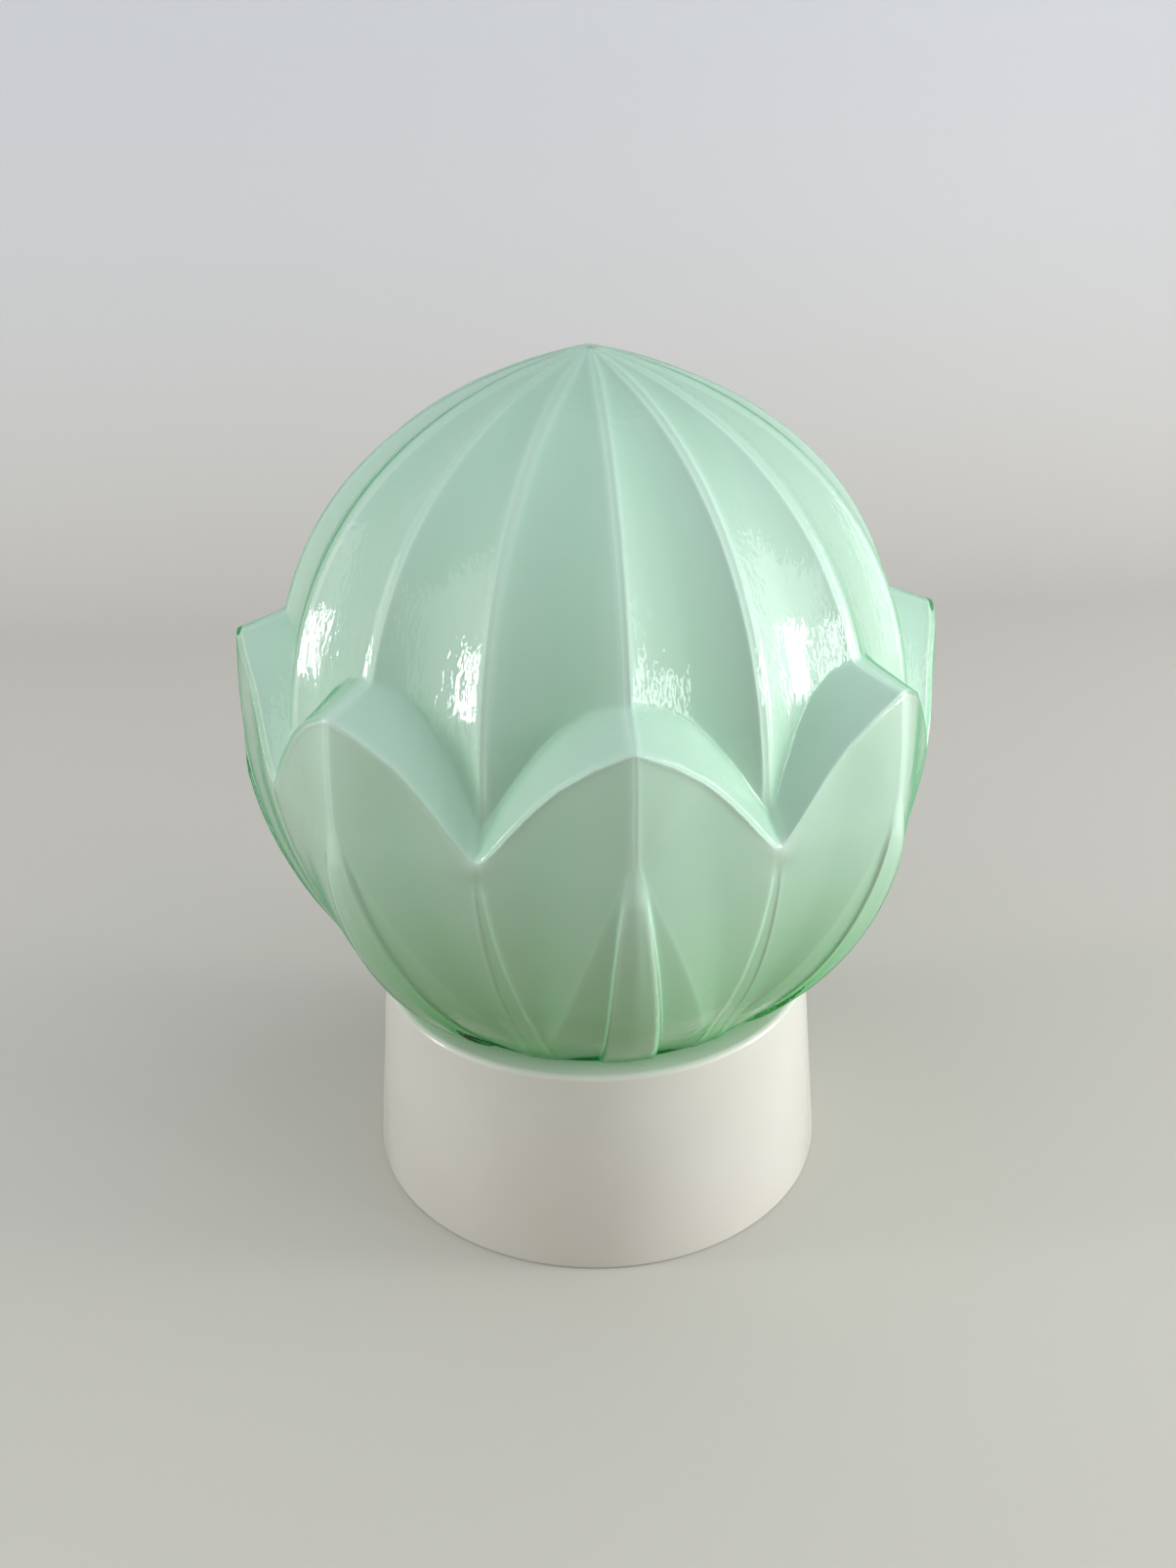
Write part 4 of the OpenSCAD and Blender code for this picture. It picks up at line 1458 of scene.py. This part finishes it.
@dataclass
class Base:
    """The white conical base: skirt, rim, bore with its inside thread, deck, bosses and holes."""

    foot_r: float = 55.0
    rim_r: float = 50.75
    height: float = 49.0
    wall: float = 4.0
    rim_round: float = 1.4
    bore_round: float = 0.8
    foot_round: float = 0.6
    bore_r: float = 44.0
    seat_z: float = 31.5
    well_r: float = 36.55
    deck_z: float = 8.0
    deck_top: float = 12.0
    boss_r: float = 5.0
    hole_r: float = 2.5
    hole_x: float = 29.0
    holder_y: float = 31.05
    holder_hole_r: float = 2.1
    grommet_xy: float = 20.824
    grommet_hole_r: float = 5.0
    rib_r: float = 40.65
    rib_w: float = 2.4
    rib_z: float = 38.6
    rib_pitch: float = 6.0
    rib_turns: float = 1.2
    rib_fade: float = 0.05
    rib_steps: int = 97
    through: tuple[float, float] = (5.0, 20.0)
    segments: int = 256

    def outline(self) -> list[tuple[float, float]]:
        """The base's cross-section, from the deck's underside round to its top.

        Returns:
            Points of (radius, height) in millimetres.
        """
        lean = (self.foot_r - self.rim_r) / self.height
        tube_r = self.well_r + self.wall
        hollow_z = self.seat_z - self.wall
        skirt_r = self.foot_r - lean * hollow_z - self.wall
        round_ = self.foot_round
        rim = self.rim_round
        bore = self.bore_round
        return [
            (0, self.deck_z),
            (tube_r, self.deck_z),
            (tube_r, hollow_z),
            (skirt_r, hollow_z),
            (self.foot_r - self.wall, 0),
            *arc(self.foot_r - round_, round_, round_, -90, 0, 4),
            *arc(self.rim_r - rim, self.height - rim, rim, 5, 90, 10),
            *arc(self.bore_r + bore, self.height - bore, bore, 90, 180, 6),
            (self.bore_r, self.seat_z),
            (self.well_r, self.seat_z),
            (self.well_r, self.deck_top),
            (0, self.deck_top),
        ]

    def post(self, x: float, y: float, r: float, low: float, high: float) -> Piece:
        """A round post at a place, as a tool to add or cut with."""
        return shift(lathe("tool", [(0, low), (r, low), (r, high), (0, high)], 48), x, y)

    def rib(self) -> Piece:
        """The inside thread: a helix of trapezium sections that fades out at both ends.

        Returns:
            The helix as an object.
        """
        count = self.rib_steps
        root_r = self.bore_r + 1
        shares = np.linspace(0, self.rib_turns, count)
        rise = np.minimum(1, np.minimum(shares, self.rib_turns - shares) / self.rib_fade)
        crest_r = root_r - rise * (root_r - self.rib_r)
        z = self.rib_z + self.rib_pitch * shares
        points = np.empty((count, 4, 3))
        half = self.rib_w / 2
        root = np.full(count, root_r)
        corners = ((root, -half), (crest_r, -half / 2), (crest_r, half / 2), (root, half))
        turn = math.tau * shares
        for k, (radius, off) in enumerate(corners):
            points[:, k] = np.stack([radius * np.sin(turn), -radius * np.cos(turn), z + off], -1)
        last = 4 * (count - 1)
        faces = grid_faces(count, 4, True) + [(3, 2, 1, 0), (last, last + 1, last + 2, last + 3)]
        rib = make_piece("tool", points, faces)
        weld(rib)
        return rib

    def build(self) -> None:
        """Make and dress the base."""
        body = lathe("base_shell", self.outline(), self.segments)
        cut(body, self.rib(), "UNION")
        for side in (-1, 1):
            cut(body, self.post(side * self.hole_x, 0, self.boss_r, 0, self.deck_z + 1), "UNION")
        for side in (-1, 1):
            cut(body, self.post(side * self.hole_x, 0, self.hole_r, -1, self.deck_top + 1), "DIFFERENCE")
            cut(body, self.post(0, side * self.holder_y, self.holder_hole_r, *self.through), "DIFFERENCE")
        hole = self.post(self.grommet_xy, self.grommet_xy, self.grommet_hole_r, *self.through)
        cut(body, hole, "DIFFERENCE")
        body.data.shade_smooth()
        crisp(body)
        settle(body, Body.BASE, ("base_housing",), Finishes.MOULDING.value)
        self.rubbers()

    def rubbers(self) -> None:
        """Make the grommet in the deck and the seal under the glass."""
        flange_r, flange_t, bore_r, ease = 6.3, 2.0, 3.6, 0.7
        inner_r = self.grommet_hole_r - 0.1
        low, high = self.deck_z, self.deck_top
        outline = [
            *arc(bore_r + ease, low - flange_t + ease, ease, 180, 270, 4),
            *arc(flange_r - ease, low - flange_t + ease, ease, -90, 0, 4),
            (flange_r, low),
            (inner_r, low),
            (inner_r, high),
            (flange_r, high),
            *arc(flange_r - ease, high + flange_t - ease, ease, 0, 90, 4),
            *arc(bore_r + ease, high + flange_t - ease, ease, 90, 180, 4),
        ]
        grommet = shift(lathe("grommet_ring", outline, 64), self.grommet_xy, self.grommet_xy)
        settle(crisp(grommet), Body.BASE, ("cable_grommet",), Finishes.RUBBER.value)
        outer_r, lip_r, lip_t, lip_h, ease = 40.05, 35.75, 0.8, 4.0, 0.35
        top = self.seat_z + 1.5
        outline = [
            *arc(lip_r - lip_t + ease, self.seat_z + ease, ease, 180, 270, 4),
            *arc(outer_r - ease, self.seat_z + ease, ease, -90, 0, 4),
            *arc(outer_r - ease, top - ease, ease, 0, 90, 4),
            (lip_r, top),
            *arc(lip_r - ease, top + lip_h - ease, ease, 0, 90, 4),
            *arc(lip_r - lip_t + ease, top + lip_h - ease, ease, 90, 180, 4),
        ]
        seal = lathe("seal_ring", outline, 128)
        settle(crisp(seal), Body.SEAL, ("neck_seal",), Finishes.RUBBER.value)


class WireCoil(ShapeTree):
    """A wire wound into a coil along the Z axis."""

    turn_steps = 36
    wire_sides = 14

    def __init__(self) -> None:
        """Build the tree."""
        lengths = dict.fromkeys(("Turns", "Radius", "Height", "Wire"), "Float")
        super().__init__("wire_coil", {**lengths, "Place": "Vector", "Material": "Material"})
        start = self.add("NodeGroupInput")
        coil = self.add("GeometryNodeCurveSpiral")
        coil.inputs["Resolution"].default_value = self.turn_steps
        section = self.add("GeometryNodeCurvePrimitiveCircle")
        section.inputs["Resolution"].default_value = self.wire_sides
        sweep = self.add("GeometryNodeCurveToMesh")
        sweep.inputs["Fill Caps"].default_value = True
        place = self.add("GeometryNodeTransform")
        real = self.add("GeometryNodeRealizeInstances")
        dress = self.add("GeometryNodeSetMaterial")
        end = self.add("NodeGroupOutput")
        self.join(
            (
                (start.outputs["Turns"], coil.inputs["Rotations"]),
                (start.outputs["Radius"], coil.inputs["Start Radius"]),
                (start.outputs["Radius"], coil.inputs["End Radius"]),
                (start.outputs["Height"], coil.inputs["Height"]),
                (start.outputs["Wire"], section.inputs["Radius"]),
                (coil.outputs["Curve"], sweep.inputs["Curve"]),
                (section.outputs["Curve"], sweep.inputs["Profile Curve"]),
                (sweep.outputs["Mesh"], place.inputs["Geometry"]),
                (start.outputs["Place"], place.inputs["Translation"]),
                (place.outputs["Geometry"], real.inputs["Geometry"]),
                (real.outputs["Geometry"], dress.inputs["Geometry"]),
                (start.outputs["Material"], dress.inputs["Material"]),
                (dress.outputs["Geometry"], end.inputs["Geometry"]),
            )
        )

    def wind(self, name: str, sizes: dict[str, object]) -> Piece:
        """Make a coil as a plain mesh.

        Args:
            name: the piece's name.
            sizes: a value for each named input of the tree, in metres.

        Returns:
            The new object.
        """
        piece = make_piece(name, np.zeros((0, 3)), [])
        self.shape(piece, sizes)
        weld(piece)
        piece.data.shade_smooth()
        return piece


@dataclass(frozen=True)
class Screw:
    """A slotted cheese-head screw along Z, in millimetres, with its head's underside at seat_z."""

    r: float
    length: float
    head_r: float
    head_h: float
    seat_z: float
    pitch: float = 0.7
    depth: float = 0.22
    ease: float = 0.3

    def mesh(self, name: str) -> Piece:
        """The screw as an object on the axis.

        Args:
            name: the piece's name.

        Returns:
            The new object.
        """
        low, seat, top = self.seat_z - self.length, self.seat_z, self.seat_z + self.head_h
        heights = np.linspace(low, seat, round(self.length / self.pitch * 7) + 1)
        cols = 24
        point = np.clip((heights - low) / self.pitch, 0, 1)
        radii = thread(self.r, 0 * heights + self.depth, self.pitch, heights, cols)
        radii *= mix(0.78, 1, point)[:, None]
        closed = np.concatenate([np.zeros((1, cols)), radii, np.zeros((1, cols))])
        shank = ring_solid("shank", closed, np.concatenate([[low], heights, [seat]]))
        rim = self.ease
        outline = [
            (0, seat),
            (self.head_r - rim / 2, seat),
            (self.head_r, seat + rim / 2),
            *arc(self.head_r - rim, top - rim, rim, 0, 90, 4),
            (0, top + 0.1),
        ]
        head = lathe("head", outline, 40)
        slot_w = 0.35 * self.head_r
        reach = self.head_r + 1
        slot = block((-reach, -slot_w / 2, seat + self.head_h / 2), (reach, slot_w / 2, top + 1))
        cut(head, slot, "DIFFERENCE")
        head.data.shade_smooth()
        return join(name, [shank, head])


@dataclass
class Lampholder:
    """The lampholder's sleeve, contact, spring and fixings, in millimetres."""

    sleeve_z: float = 26.0
    sleeve_len: float = 19.5
    sleeve_r: float = 13.4
    sleeve_t: float = 0.55
    thread_depth: float = 1.1
    pitch: float = 3.629
    collar_z: float = 18.4
    collar_r: float = 3.6
    collar_t: float = 1.2
    button_r: float = 2.3
    button_z: float = 24.0
    spring_z: float = 12.8
    spring_r: float = 3.0
    wire_d: float = 0.6
    spring_turns: float = 5.0
    travel: float = 1.2
    holder_y: float = 31.05
    ear_top: float = 20.0
    washer_t: float = 0.8
    washer_r: float = 4.0
    nut_r: float = 4.0
    nut_h: float = 3.2
    deck_z: float = 8.0
    clamp_y: float = 23.0
    clamp_z: float = 27.8

    def build(self, copies: TurnedCopies) -> None:
        """Make and dress every piece.

        Args:
            copies: the tree that makes rings of copies.
        """
        self.sleeve()
        self.contact()
        self.fixings(copies)

    def sleeve(self) -> None:
        """The rolled brass shell that the bulb screws into, flared at its mouth."""
        cols = 72
        heights = np.linspace(self.sleeve_z, self.sleeve_z + self.sleeve_len, 70)
        depth = self.thread_depth * np.clip((heights[-1] - heights) / 1.5, 0, 1)
        inside = thread(self.sleeve_r, depth, self.pitch, heights, cols)
        radii = np.concatenate([inside + self.sleeve_t, inside[::-1]])
        piece = ring_solid("sleeve_shell", radii, np.concatenate([heights, heights[::-1]]))
        settle(crisp(piece, 50), Body.BASE, ("thread_sleeve",), Finishes.BRASS.value)

    def contact(self) -> None:
        """The sprung button and its coil spring."""
        top, ease = self.button_z, 0.8
        outline = [
            (0, self.collar_z),
            (self.collar_r - 0.2, self.collar_z),
            (self.collar_r, self.collar_z + 0.2),
            (self.collar_r, self.collar_z + self.collar_t - 0.2),
            (self.collar_r - 0.2, self.collar_z + self.collar_t),
            (self.button_r, self.collar_z + self.collar_t),
            *arc(self.button_r - ease, top - ease, ease, 0, 75, 6),
            (0, top),
        ]
        button = lathe("contact_button", outline, 48)
        settle(crisp(button), Body.CONTACT, ("centre_contact",), Finishes.BRASS.value)
        tall = self.collar_z - self.spring_z
        sizes = {
            "Turns": self.spring_turns,
            "Radius": self.spring_r * MM,
            "Height": (tall - self.wire_d) * MM,
            "Wire": self.wire_d / 2 * MM,
            "Place": (0.0, 0.0, (self.spring_z + self.wire_d / 2) * MM),
            "Material": Finishes.STEEL.value.material(),
        }
        spring = WireCoil().wind("spring_coil", sizes)
        settle(spring, Body.BASE, ("contact_spring",), Finishes.STEEL.value)
        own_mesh(spring)

    def fixings(self, copies: TurnedCopies) -> None:
        """The screws, washers and nuts, two of each.

        Args:
            copies: the tree that makes rings of copies.
        """
        steel, fibre = Finishes.STEEL.value, Finishes.FIBRE.value
        holder = Screw(1.9, 16.0, 3.5, 2.4, self.ear_top + self.washer_t)
        clamp = Screw(1.5, 3.1, 2.3, 1.8, self.clamp_z, 0.5, 0.16)
        for piece, y, node, finish in (
            (holder.mesh("holder_fixing_screws"), self.holder_y, "holder_screws", steel),
            (clamp.mesh("clamp_screws"), self.clamp_y, "terminal_screws", steel),
            (self.washer(), self.holder_y, "holder_washers", fibre),
            (self.nut(), self.holder_y, "holder_nuts", steel),
        ):
            copies.apply(shift(piece, 0, -y), 2, finish.material())
            settle(crisp(piece), Body.BASE, (node,), finish)

    def washer(self) -> Piece:
        """A flat fibre washer with eased edges.

        Returns:
            The new object, on the axis.
        """
        low, high, ease, bore_r = self.ear_top, self.ear_top + self.washer_t, 0.15, 2.1
        outline = [
            (bore_r, low),
            (self.washer_r - ease, low),
            (self.washer_r, low + ease),
            (self.washer_r, high - ease),
            (self.washer_r - ease, high),
            (bore_r + ease, high),
            (bore_r, high - ease),
        ]
        return lathe("fibre_washers", outline, 48)

    def nut(self) -> Piece:
        """A hexagon nut with rounded corners.

        Returns:
            The new object, on the axis.
        """
        low, high, ease, bore_r = self.deck_z - self.nut_h, self.deck_z, 0.5, 2.0
        r = self.nut_r
        nut = lathe("hexagon_nuts", [(0, low), (r, low), (r, high), (0, high)], 6)
        nut.data.transform(Matrix.Rotation(math.radians(30), 4, "Z"))
        outline = [
            (0, low - 0.1),
            (0.86 * r, low - 0.01),
            (r + 0.05, low + ease),
            (r + 0.05, high - ease),
            (0.86 * r, high + 0.01),
            (0, high + 0.1),
        ]
        cut(nut, lathe("tool", outline, 64), "INTERSECT")
        bore = [(0, low - 1), (bore_r, low - 1), (bore_r, high + 1), (0, high + 1)]
        cut(nut, lathe("tool", bore, 48), "DIFFERENCE")
        nut.data.shade_smooth()
        return nut


@dataclass
class Bulb:
    """The bulb: glass, cap, contact and filaments, in millimetres."""

    contact_z: float = 24.3
    contact_r: float = 4.5
    insulator_z: float = 25.8
    insulator_r: float = 11.2
    insulator_top: float = 28.8
    cap_z: float = 27.8
    cap_top: float = 50.8
    cap_r: float = 13.1
    cap_in_r: float = 11.5
    thread_depth: float = 1.1
    thread_top: float = 46.0
    pitch: float = 3.629
    envelope_z: float = 45.8
    envelope_r: float = 11.3
    wall: float = 0.8
    ball_r: float = 27.5
    ball_z: float = 94.8
    ball_leave: float = -38.0
    ball_pull: float = 15.0
    neck_pull: float = 10.0
    neck_bulge: float = 1.5
    stem_top: float = 86.8
    tube_r: float = 3.4
    rod_r: float = 1.3
    rod_len: float = 14.0
    filament_r: float = 1.0
    filament_len: float = 26.0
    filament_ring_r: float = 9.0
    filaments: int = 4
    first_turn: float = 22.5

    def build(self, copies: TurnedCopies) -> None:
        """Make and dress every piece.

        Args:
            copies: the tree that makes rings of copies.
        """
        self.glass()
        self.cap()
        self.foot()
        self.glow(copies)

    def outline(self, inset: float) -> list[tuple[float, float]]:
        """Half outline of the glass, from its tip down to its foot, moved inwards by inset.

        Args:
            inset: how far it is moved, in millimetres.

        Returns:
            Points of (radius, height) in millimetres.
        """
        r = self.ball_r - inset
        a = math.radians(self.ball_leave)
        end = np.array((r * math.cos(a), self.ball_z + r * math.sin(a)))
        neck = np.array((self.envelope_r - inset + self.neck_bulge, self.cap_top + 0.4))
        first = end + self.ball_pull * np.array((math.sin(a), -math.cos(a)))
        second = neck + np.array((0, self.neck_pull))
        pulls = np.array((end, first, second, neck))
        curve = [tuple(np.array(cubic(t)) @ pulls) for t in np.linspace(0, 1, 15)[1:]]
        foot = [(self.envelope_r - inset, self.cap_top - 0.3), (self.envelope_r - inset, self.envelope_z)]
        return [(0, self.ball_z + r), *arc(0, self.ball_z, r, 86, self.ball_leave, 30), *curve, *foot]

    def glass(self) -> None:
        """The blown envelope and the stem inside it."""
        clear = Finishes.CLEAR.value
        shell = lathe("bulb_glass", self.outline(0) + self.outline(self.wall)[::-1], 96)
        settle(shell, Body.BULB, ("bulb_envelope",), clear)
        low, top = self.envelope_z, self.stem_top
        flare_r = self.envelope_r - self.wall - 0.2
        reach = top - self.rod_len
        pinch_h = 3.0
        pinch = [
            (mix(self.rod_r, self.tube_r, math.cos(t)), reach - pinch_h + pinch_h * math.sin(t))
            for t in (0.4, 0.8, 1.2, 1.57)
        ]
        outline = [
            (0, low),
            (flare_r, low),
            (flare_r, low + 1),
            *[(mix(self.tube_r, flare_r, (1 - t) ** 3), low + 1 + 9 * t) for t in np.linspace(0.1, 1, 8)],
            (self.tube_r, reach - pinch_h),
            *pinch,
            (self.rod_r, top - 0.6),
            *arc(self.rod_r - 0.6, top - 0.6, 0.6, 0, 90, 4),
            (0, top),
        ]
        settle(lathe("stem_glass", outline, 48), Body.BULB, ("bulb_stem",), clear)

    def cap(self) -> None:
        """The screw cap: a rolled thread with a plain band that grips the glass."""
        cols = 72
        heights = np.linspace(self.cap_z, self.cap_top, 84)
        fade = np.clip(np.minimum((heights - self.cap_z) / 2, (self.thread_top - heights) / 2 + 1), 0, 1)
        outside = thread(self.cap_r, self.thread_depth * fade, self.pitch, heights, cols)
        outside -= (0.9 * np.clip(1 - (heights - self.cap_z) / 2, 0, 1) ** 2)[:, None]
        inside = np.full((2, cols), self.cap_in_r)
        radii = np.concatenate([outside, inside])
        piece = ring_solid("cap_shell", radii, np.concatenate([heights, [self.cap_top, self.cap_z]]))
        settle(crisp(piece, 50), Body.BULB, ("bulb_cap",), Finishes.CAP.value)

    def foot(self) -> None:
        """The black glass and the solder contact under the cap."""
        low, top = self.insulator_z, self.insulator_top
        outline = [
            (0, low),
            (self.contact_r + 0.8, low),
            *arc(self.contact_r + 0.8, low + 0.5, 0.5, -80, -20, 4),
            (self.insulator_r, self.cap_z),
            (self.insulator_r, top),
            (0, top),
        ]
        glass = lathe("cap_glass", outline, 64)
        settle(crisp(glass), Body.BULB_FOOT, ("cap_insulator",), Finishes.CAP_GLASS.value)
        ease, low = 1.0, self.contact_z
        outline = [
            (0, low),
            *arc(self.contact_r - ease, low + ease, ease, -85, 0, 6),
            (self.contact_r, self.insulator_z),
            (0, self.insulator_z),
        ]
        disc = lathe("contact_disc", outline, 48)
        settle(crisp(disc), Body.BULB_FOOT, ("bulb_contact",), Finishes.CAP.value)

    def glow(self, copies: TurnedCopies) -> None:
        """The coated filament strips, each with bare pins at its ends.

        Args:
            copies: the tree that makes rings of copies.
        """
        low, high = self.stem_top - self.filament_len, self.stem_top
        pin_r, pin_h, ease = 0.45, 1.2, 0.5
        r = self.filament_r
        outline = [
            (0, low),
            (pin_r, low),
            (pin_r, low + pin_h),
            *arc(r - ease, low + pin_h + ease, ease, -90, 0, 5),
            *arc(r - ease, high - pin_h - ease, ease, 0, 90, 5),
            (pin_r, high - pin_h),
            (pin_r, high),
            (0, high),
        ]
        strip = lathe("filament_strips", outline, 24)
        turn = math.radians(self.first_turn)
        shift(strip, self.filament_ring_r * math.sin(turn), -self.filament_ring_r * math.cos(turn))
        copies.apply(strip, self.filaments, Finishes.PHOSPHOR.value.material())
        settle(crisp(strip), Body.BULB, ("led_filaments",), Finishes.PHOSPHOR.value)


def dress_cad_nodes() -> None:
    """Give each CAD node that still shows its finish from the record's slot."""
    by_slot = {f.value.slot: f.value for f in Finishes}
    for row in frame["record"]["subparts"]:
        node = frame["nodes"][row["node"]]
        if node.hide_render:
            continue
        node.data.materials.clear()
        node.data.materials.append(by_slot[row["material_slot"]].material())
        LOG.info("%s keeps its CAD shape", row["node"])


@dataclass(frozen=True)
class Window:
    """A soft rectangular lamp, seen from the shade's middle.

    Fields: its name, the degrees that it stands round from the front to the right and above the
    shade's middle, the degrees that it spans across and up and down, how bright it looks, the
    degrees that it leans to one side, and how far away it is and at which height it aims.
    """

    name: str
    turn: float
    rise: float
    wide: float
    tall: float
    radiance: float
    lean: float = 0.0
    away: float = 900.0
    aim_z: float = 140.0

    def build(self) -> None:
        """Place the lamp."""
        middle = Vector((0, 0, self.aim_z))
        a, e = math.radians(self.turn), math.radians(self.rise)
        ray = Vector((math.sin(a) * math.cos(e), -math.cos(a) * math.cos(e), math.sin(e)))
        data = bpy.data.lights.new(self.name, "AREA")
        data.shape = "RECTANGLE"
        data.size = 2 * self.away * math.tan(math.radians(self.wide / 2)) * MM
        data.size_y = 2 * self.away * math.tan(math.radians(self.tall / 2)) * MM
        data.energy = self.radiance * math.pi * data.size * data.size_y
        lamp = bpy.data.objects.new(self.name, data)
        lamp.location = (middle + ray * self.away) * MM
        lamp.rotation_mode = "QUATERNION"
        upright = (-ray).to_track_quat("-Z", "Y")
        lamp.rotation_quaternion = upright @ Quaternion((0, 0, 1), math.radians(self.lean))
        bpy.context.scene.collection.objects.link(lamp)


WINDOWS = (
    Window("sky_right", turn=82, rise=10, wide=44, tall=44, radiance=1.9),
    Window("sky_left", turn=-78, rise=14, wide=46, tall=44, radiance=1.3),
    Window("pane_right", turn=80, rise=2, wide=13, tall=22, radiance=16),
    Window("pane_middle", turn=57, rise=9, wide=7, tall=13, radiance=11),
    Window("pane_front", turn=42, rise=8, wide=8, tall=10, radiance=9),
    Window("pane_left", turn=-88, rise=4, wide=6.5, tall=16, radiance=24, lean=25),
)


@dataclass
class Studio:
    """Floor, backdrop, air and camera, in millimetres, radians and pixels of the photograph.

    Floor and wall have the colour that the camera sees and a dimmer one that they cast on the lamp.
    The air is brighter towards air_up, from air_low beside it to air_high.
    """

    image_w: float = 1204.0
    image_h: float = 1606.0
    focal_px: float = 1404.9
    eye: tuple[float, float, float] = (-26.86, -285.54, 227.6)
    yaw: float = 0.0894
    pitch: float = 0.4362
    roll: float = -0.0131
    floor: tuple[float, float, float] = (0.58, 0.55, 0.50)
    floor_cast: tuple[float, float, float] = (0.25, 0.17, 0.075)
    wall: tuple[float, float, float] = (0.72, 0.75, 0.80)
    wall_cast: tuple[float, float, float] = (0.62, 0.65, 0.70)
    wall_z: float = 300.0
    air: tuple[float, float, float] = (0.90, 0.95, 1.0)
    air_up: tuple[float, float, float] = (0.2, -0.1, 0.95)
    air_low: float = 0.15
    air_high: float = 1.02

    def camera(self) -> None:
        """Place the camera where the photograph was taken from."""
        data = bpy.data.cameras.new("camera")
        data.sensor_width = 36
        data.lens = data.sensor_width * self.focal_px / max(self.image_w, self.image_h)
        data.clip_start = 0.01
        data.clip_end = 50
        camera = bpy.data.objects.new("camera", data)
        ahead = Vector(
            (
                math.sin(self.yaw) * math.cos(self.pitch),
                math.cos(self.yaw) * math.cos(self.pitch),
                -math.sin(self.pitch),
            )
        )
        right = Vector((math.cos(self.yaw), -math.sin(self.yaw), 0))
        up = right.cross(ahead)
        across = math.cos(self.roll) * right + math.sin(self.roll) * up
        raised = math.cos(self.roll) * up - math.sin(self.roll) * right
        axes = Matrix((across, raised, -ahead)).transposed().to_4x4()
        camera.matrix_world = Matrix.Translation(Vector(self.eye) * MM) @ axes
        bpy.context.scene.collection.objects.link(camera)
        bpy.context.scene.camera = camera

    def backdrop(self) -> None:
        """A pale floor that sweeps up into a pale wall."""
        depth, bend, tall, wide = 700.0, 300.0, 1500.0, 3000.0
        line = [(-1500.0, 0.0), (0.0, 0.0), *arc(depth - bend, bend, bend, -90, 0, 16), (depth, tall)]
        points = [(x, y, z) for y, z in line for x in (-wide, wide)]
        faces = [(2 * i, 2 * i + 1, 2 * i + 3, 2 * i + 2) for i in range(len(line) - 1)]
        sweep = make_piece("studio_sweep", np.array(points), faces)
        bench = NodeBench("studio_paper")
        shader = bench.add("ShaderNodeBsdfPrincipled", Roughness=0.8)
        path = bench.add("ShaderNodeLightPath")
        rise = bench.ramp(bench.height(), 0.0, self.wall_z * MM)
        seen = bench.blend(rise, self.floor, self.wall)
        cast = bench.blend(rise, self.floor_cast, self.wall_cast)
        colour = bench.blend(path.outputs["Is Diffuse Ray"], seen, cast)
        bench.join(colour, shader.inputs["Base Color"])
        sweep.data.materials.append(bench.finish(shader.outputs["BSDF"]))

    def light(self) -> None:
        """Soft lamps and a pale surrounding."""
        for window in WINDOWS:
            window.build()
        world = bpy.data.worlds.new("studio_air")
        world.use_nodes = True
        tree = world.node_tree
        air = tree.nodes["Background"]
        ray = tree.nodes.new("ShaderNodeTexCoord")
        tilt = tree.nodes.new("ShaderNodeVectorMath")
        tilt.operation = "DOT_PRODUCT"
        tilt.inputs[1].default_value = Vector(self.air_up).normalized()
        height = tree.nodes.new("ShaderNodeMapRange")
        height.inputs["To Min"].default_value = self.air_low
        height.inputs["To Max"].default_value = self.air_high
        tree.links.new(ray.outputs["Generated"], tilt.inputs[0])
        tree.links.new(tilt.outputs["Value"], height.inputs["Value"])
        tree.links.new(height.outputs["Result"], air.inputs["Strength"])
        air.inputs["Color"].default_value = (*self.air, 1)
        bpy.context.scene.world = world

    def build(self) -> None:
        """Set up the studio."""
        self.camera()
        self.backdrop()
        self.light()
        bpy.context.scene.view_settings.view_transform = "Standard"


def main() -> None:
    logging.basicConfig(level=logging.INFO, format="%(name)s: %(message)s")
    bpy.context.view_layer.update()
    copies = TurnedCopies()
    Shade().build(copies)
    Base().build()
    Lampholder().build(copies)
    Bulb().build(copies)
    dress_cad_nodes()
    Studio().build()


if __name__ == "__main__":
    main()
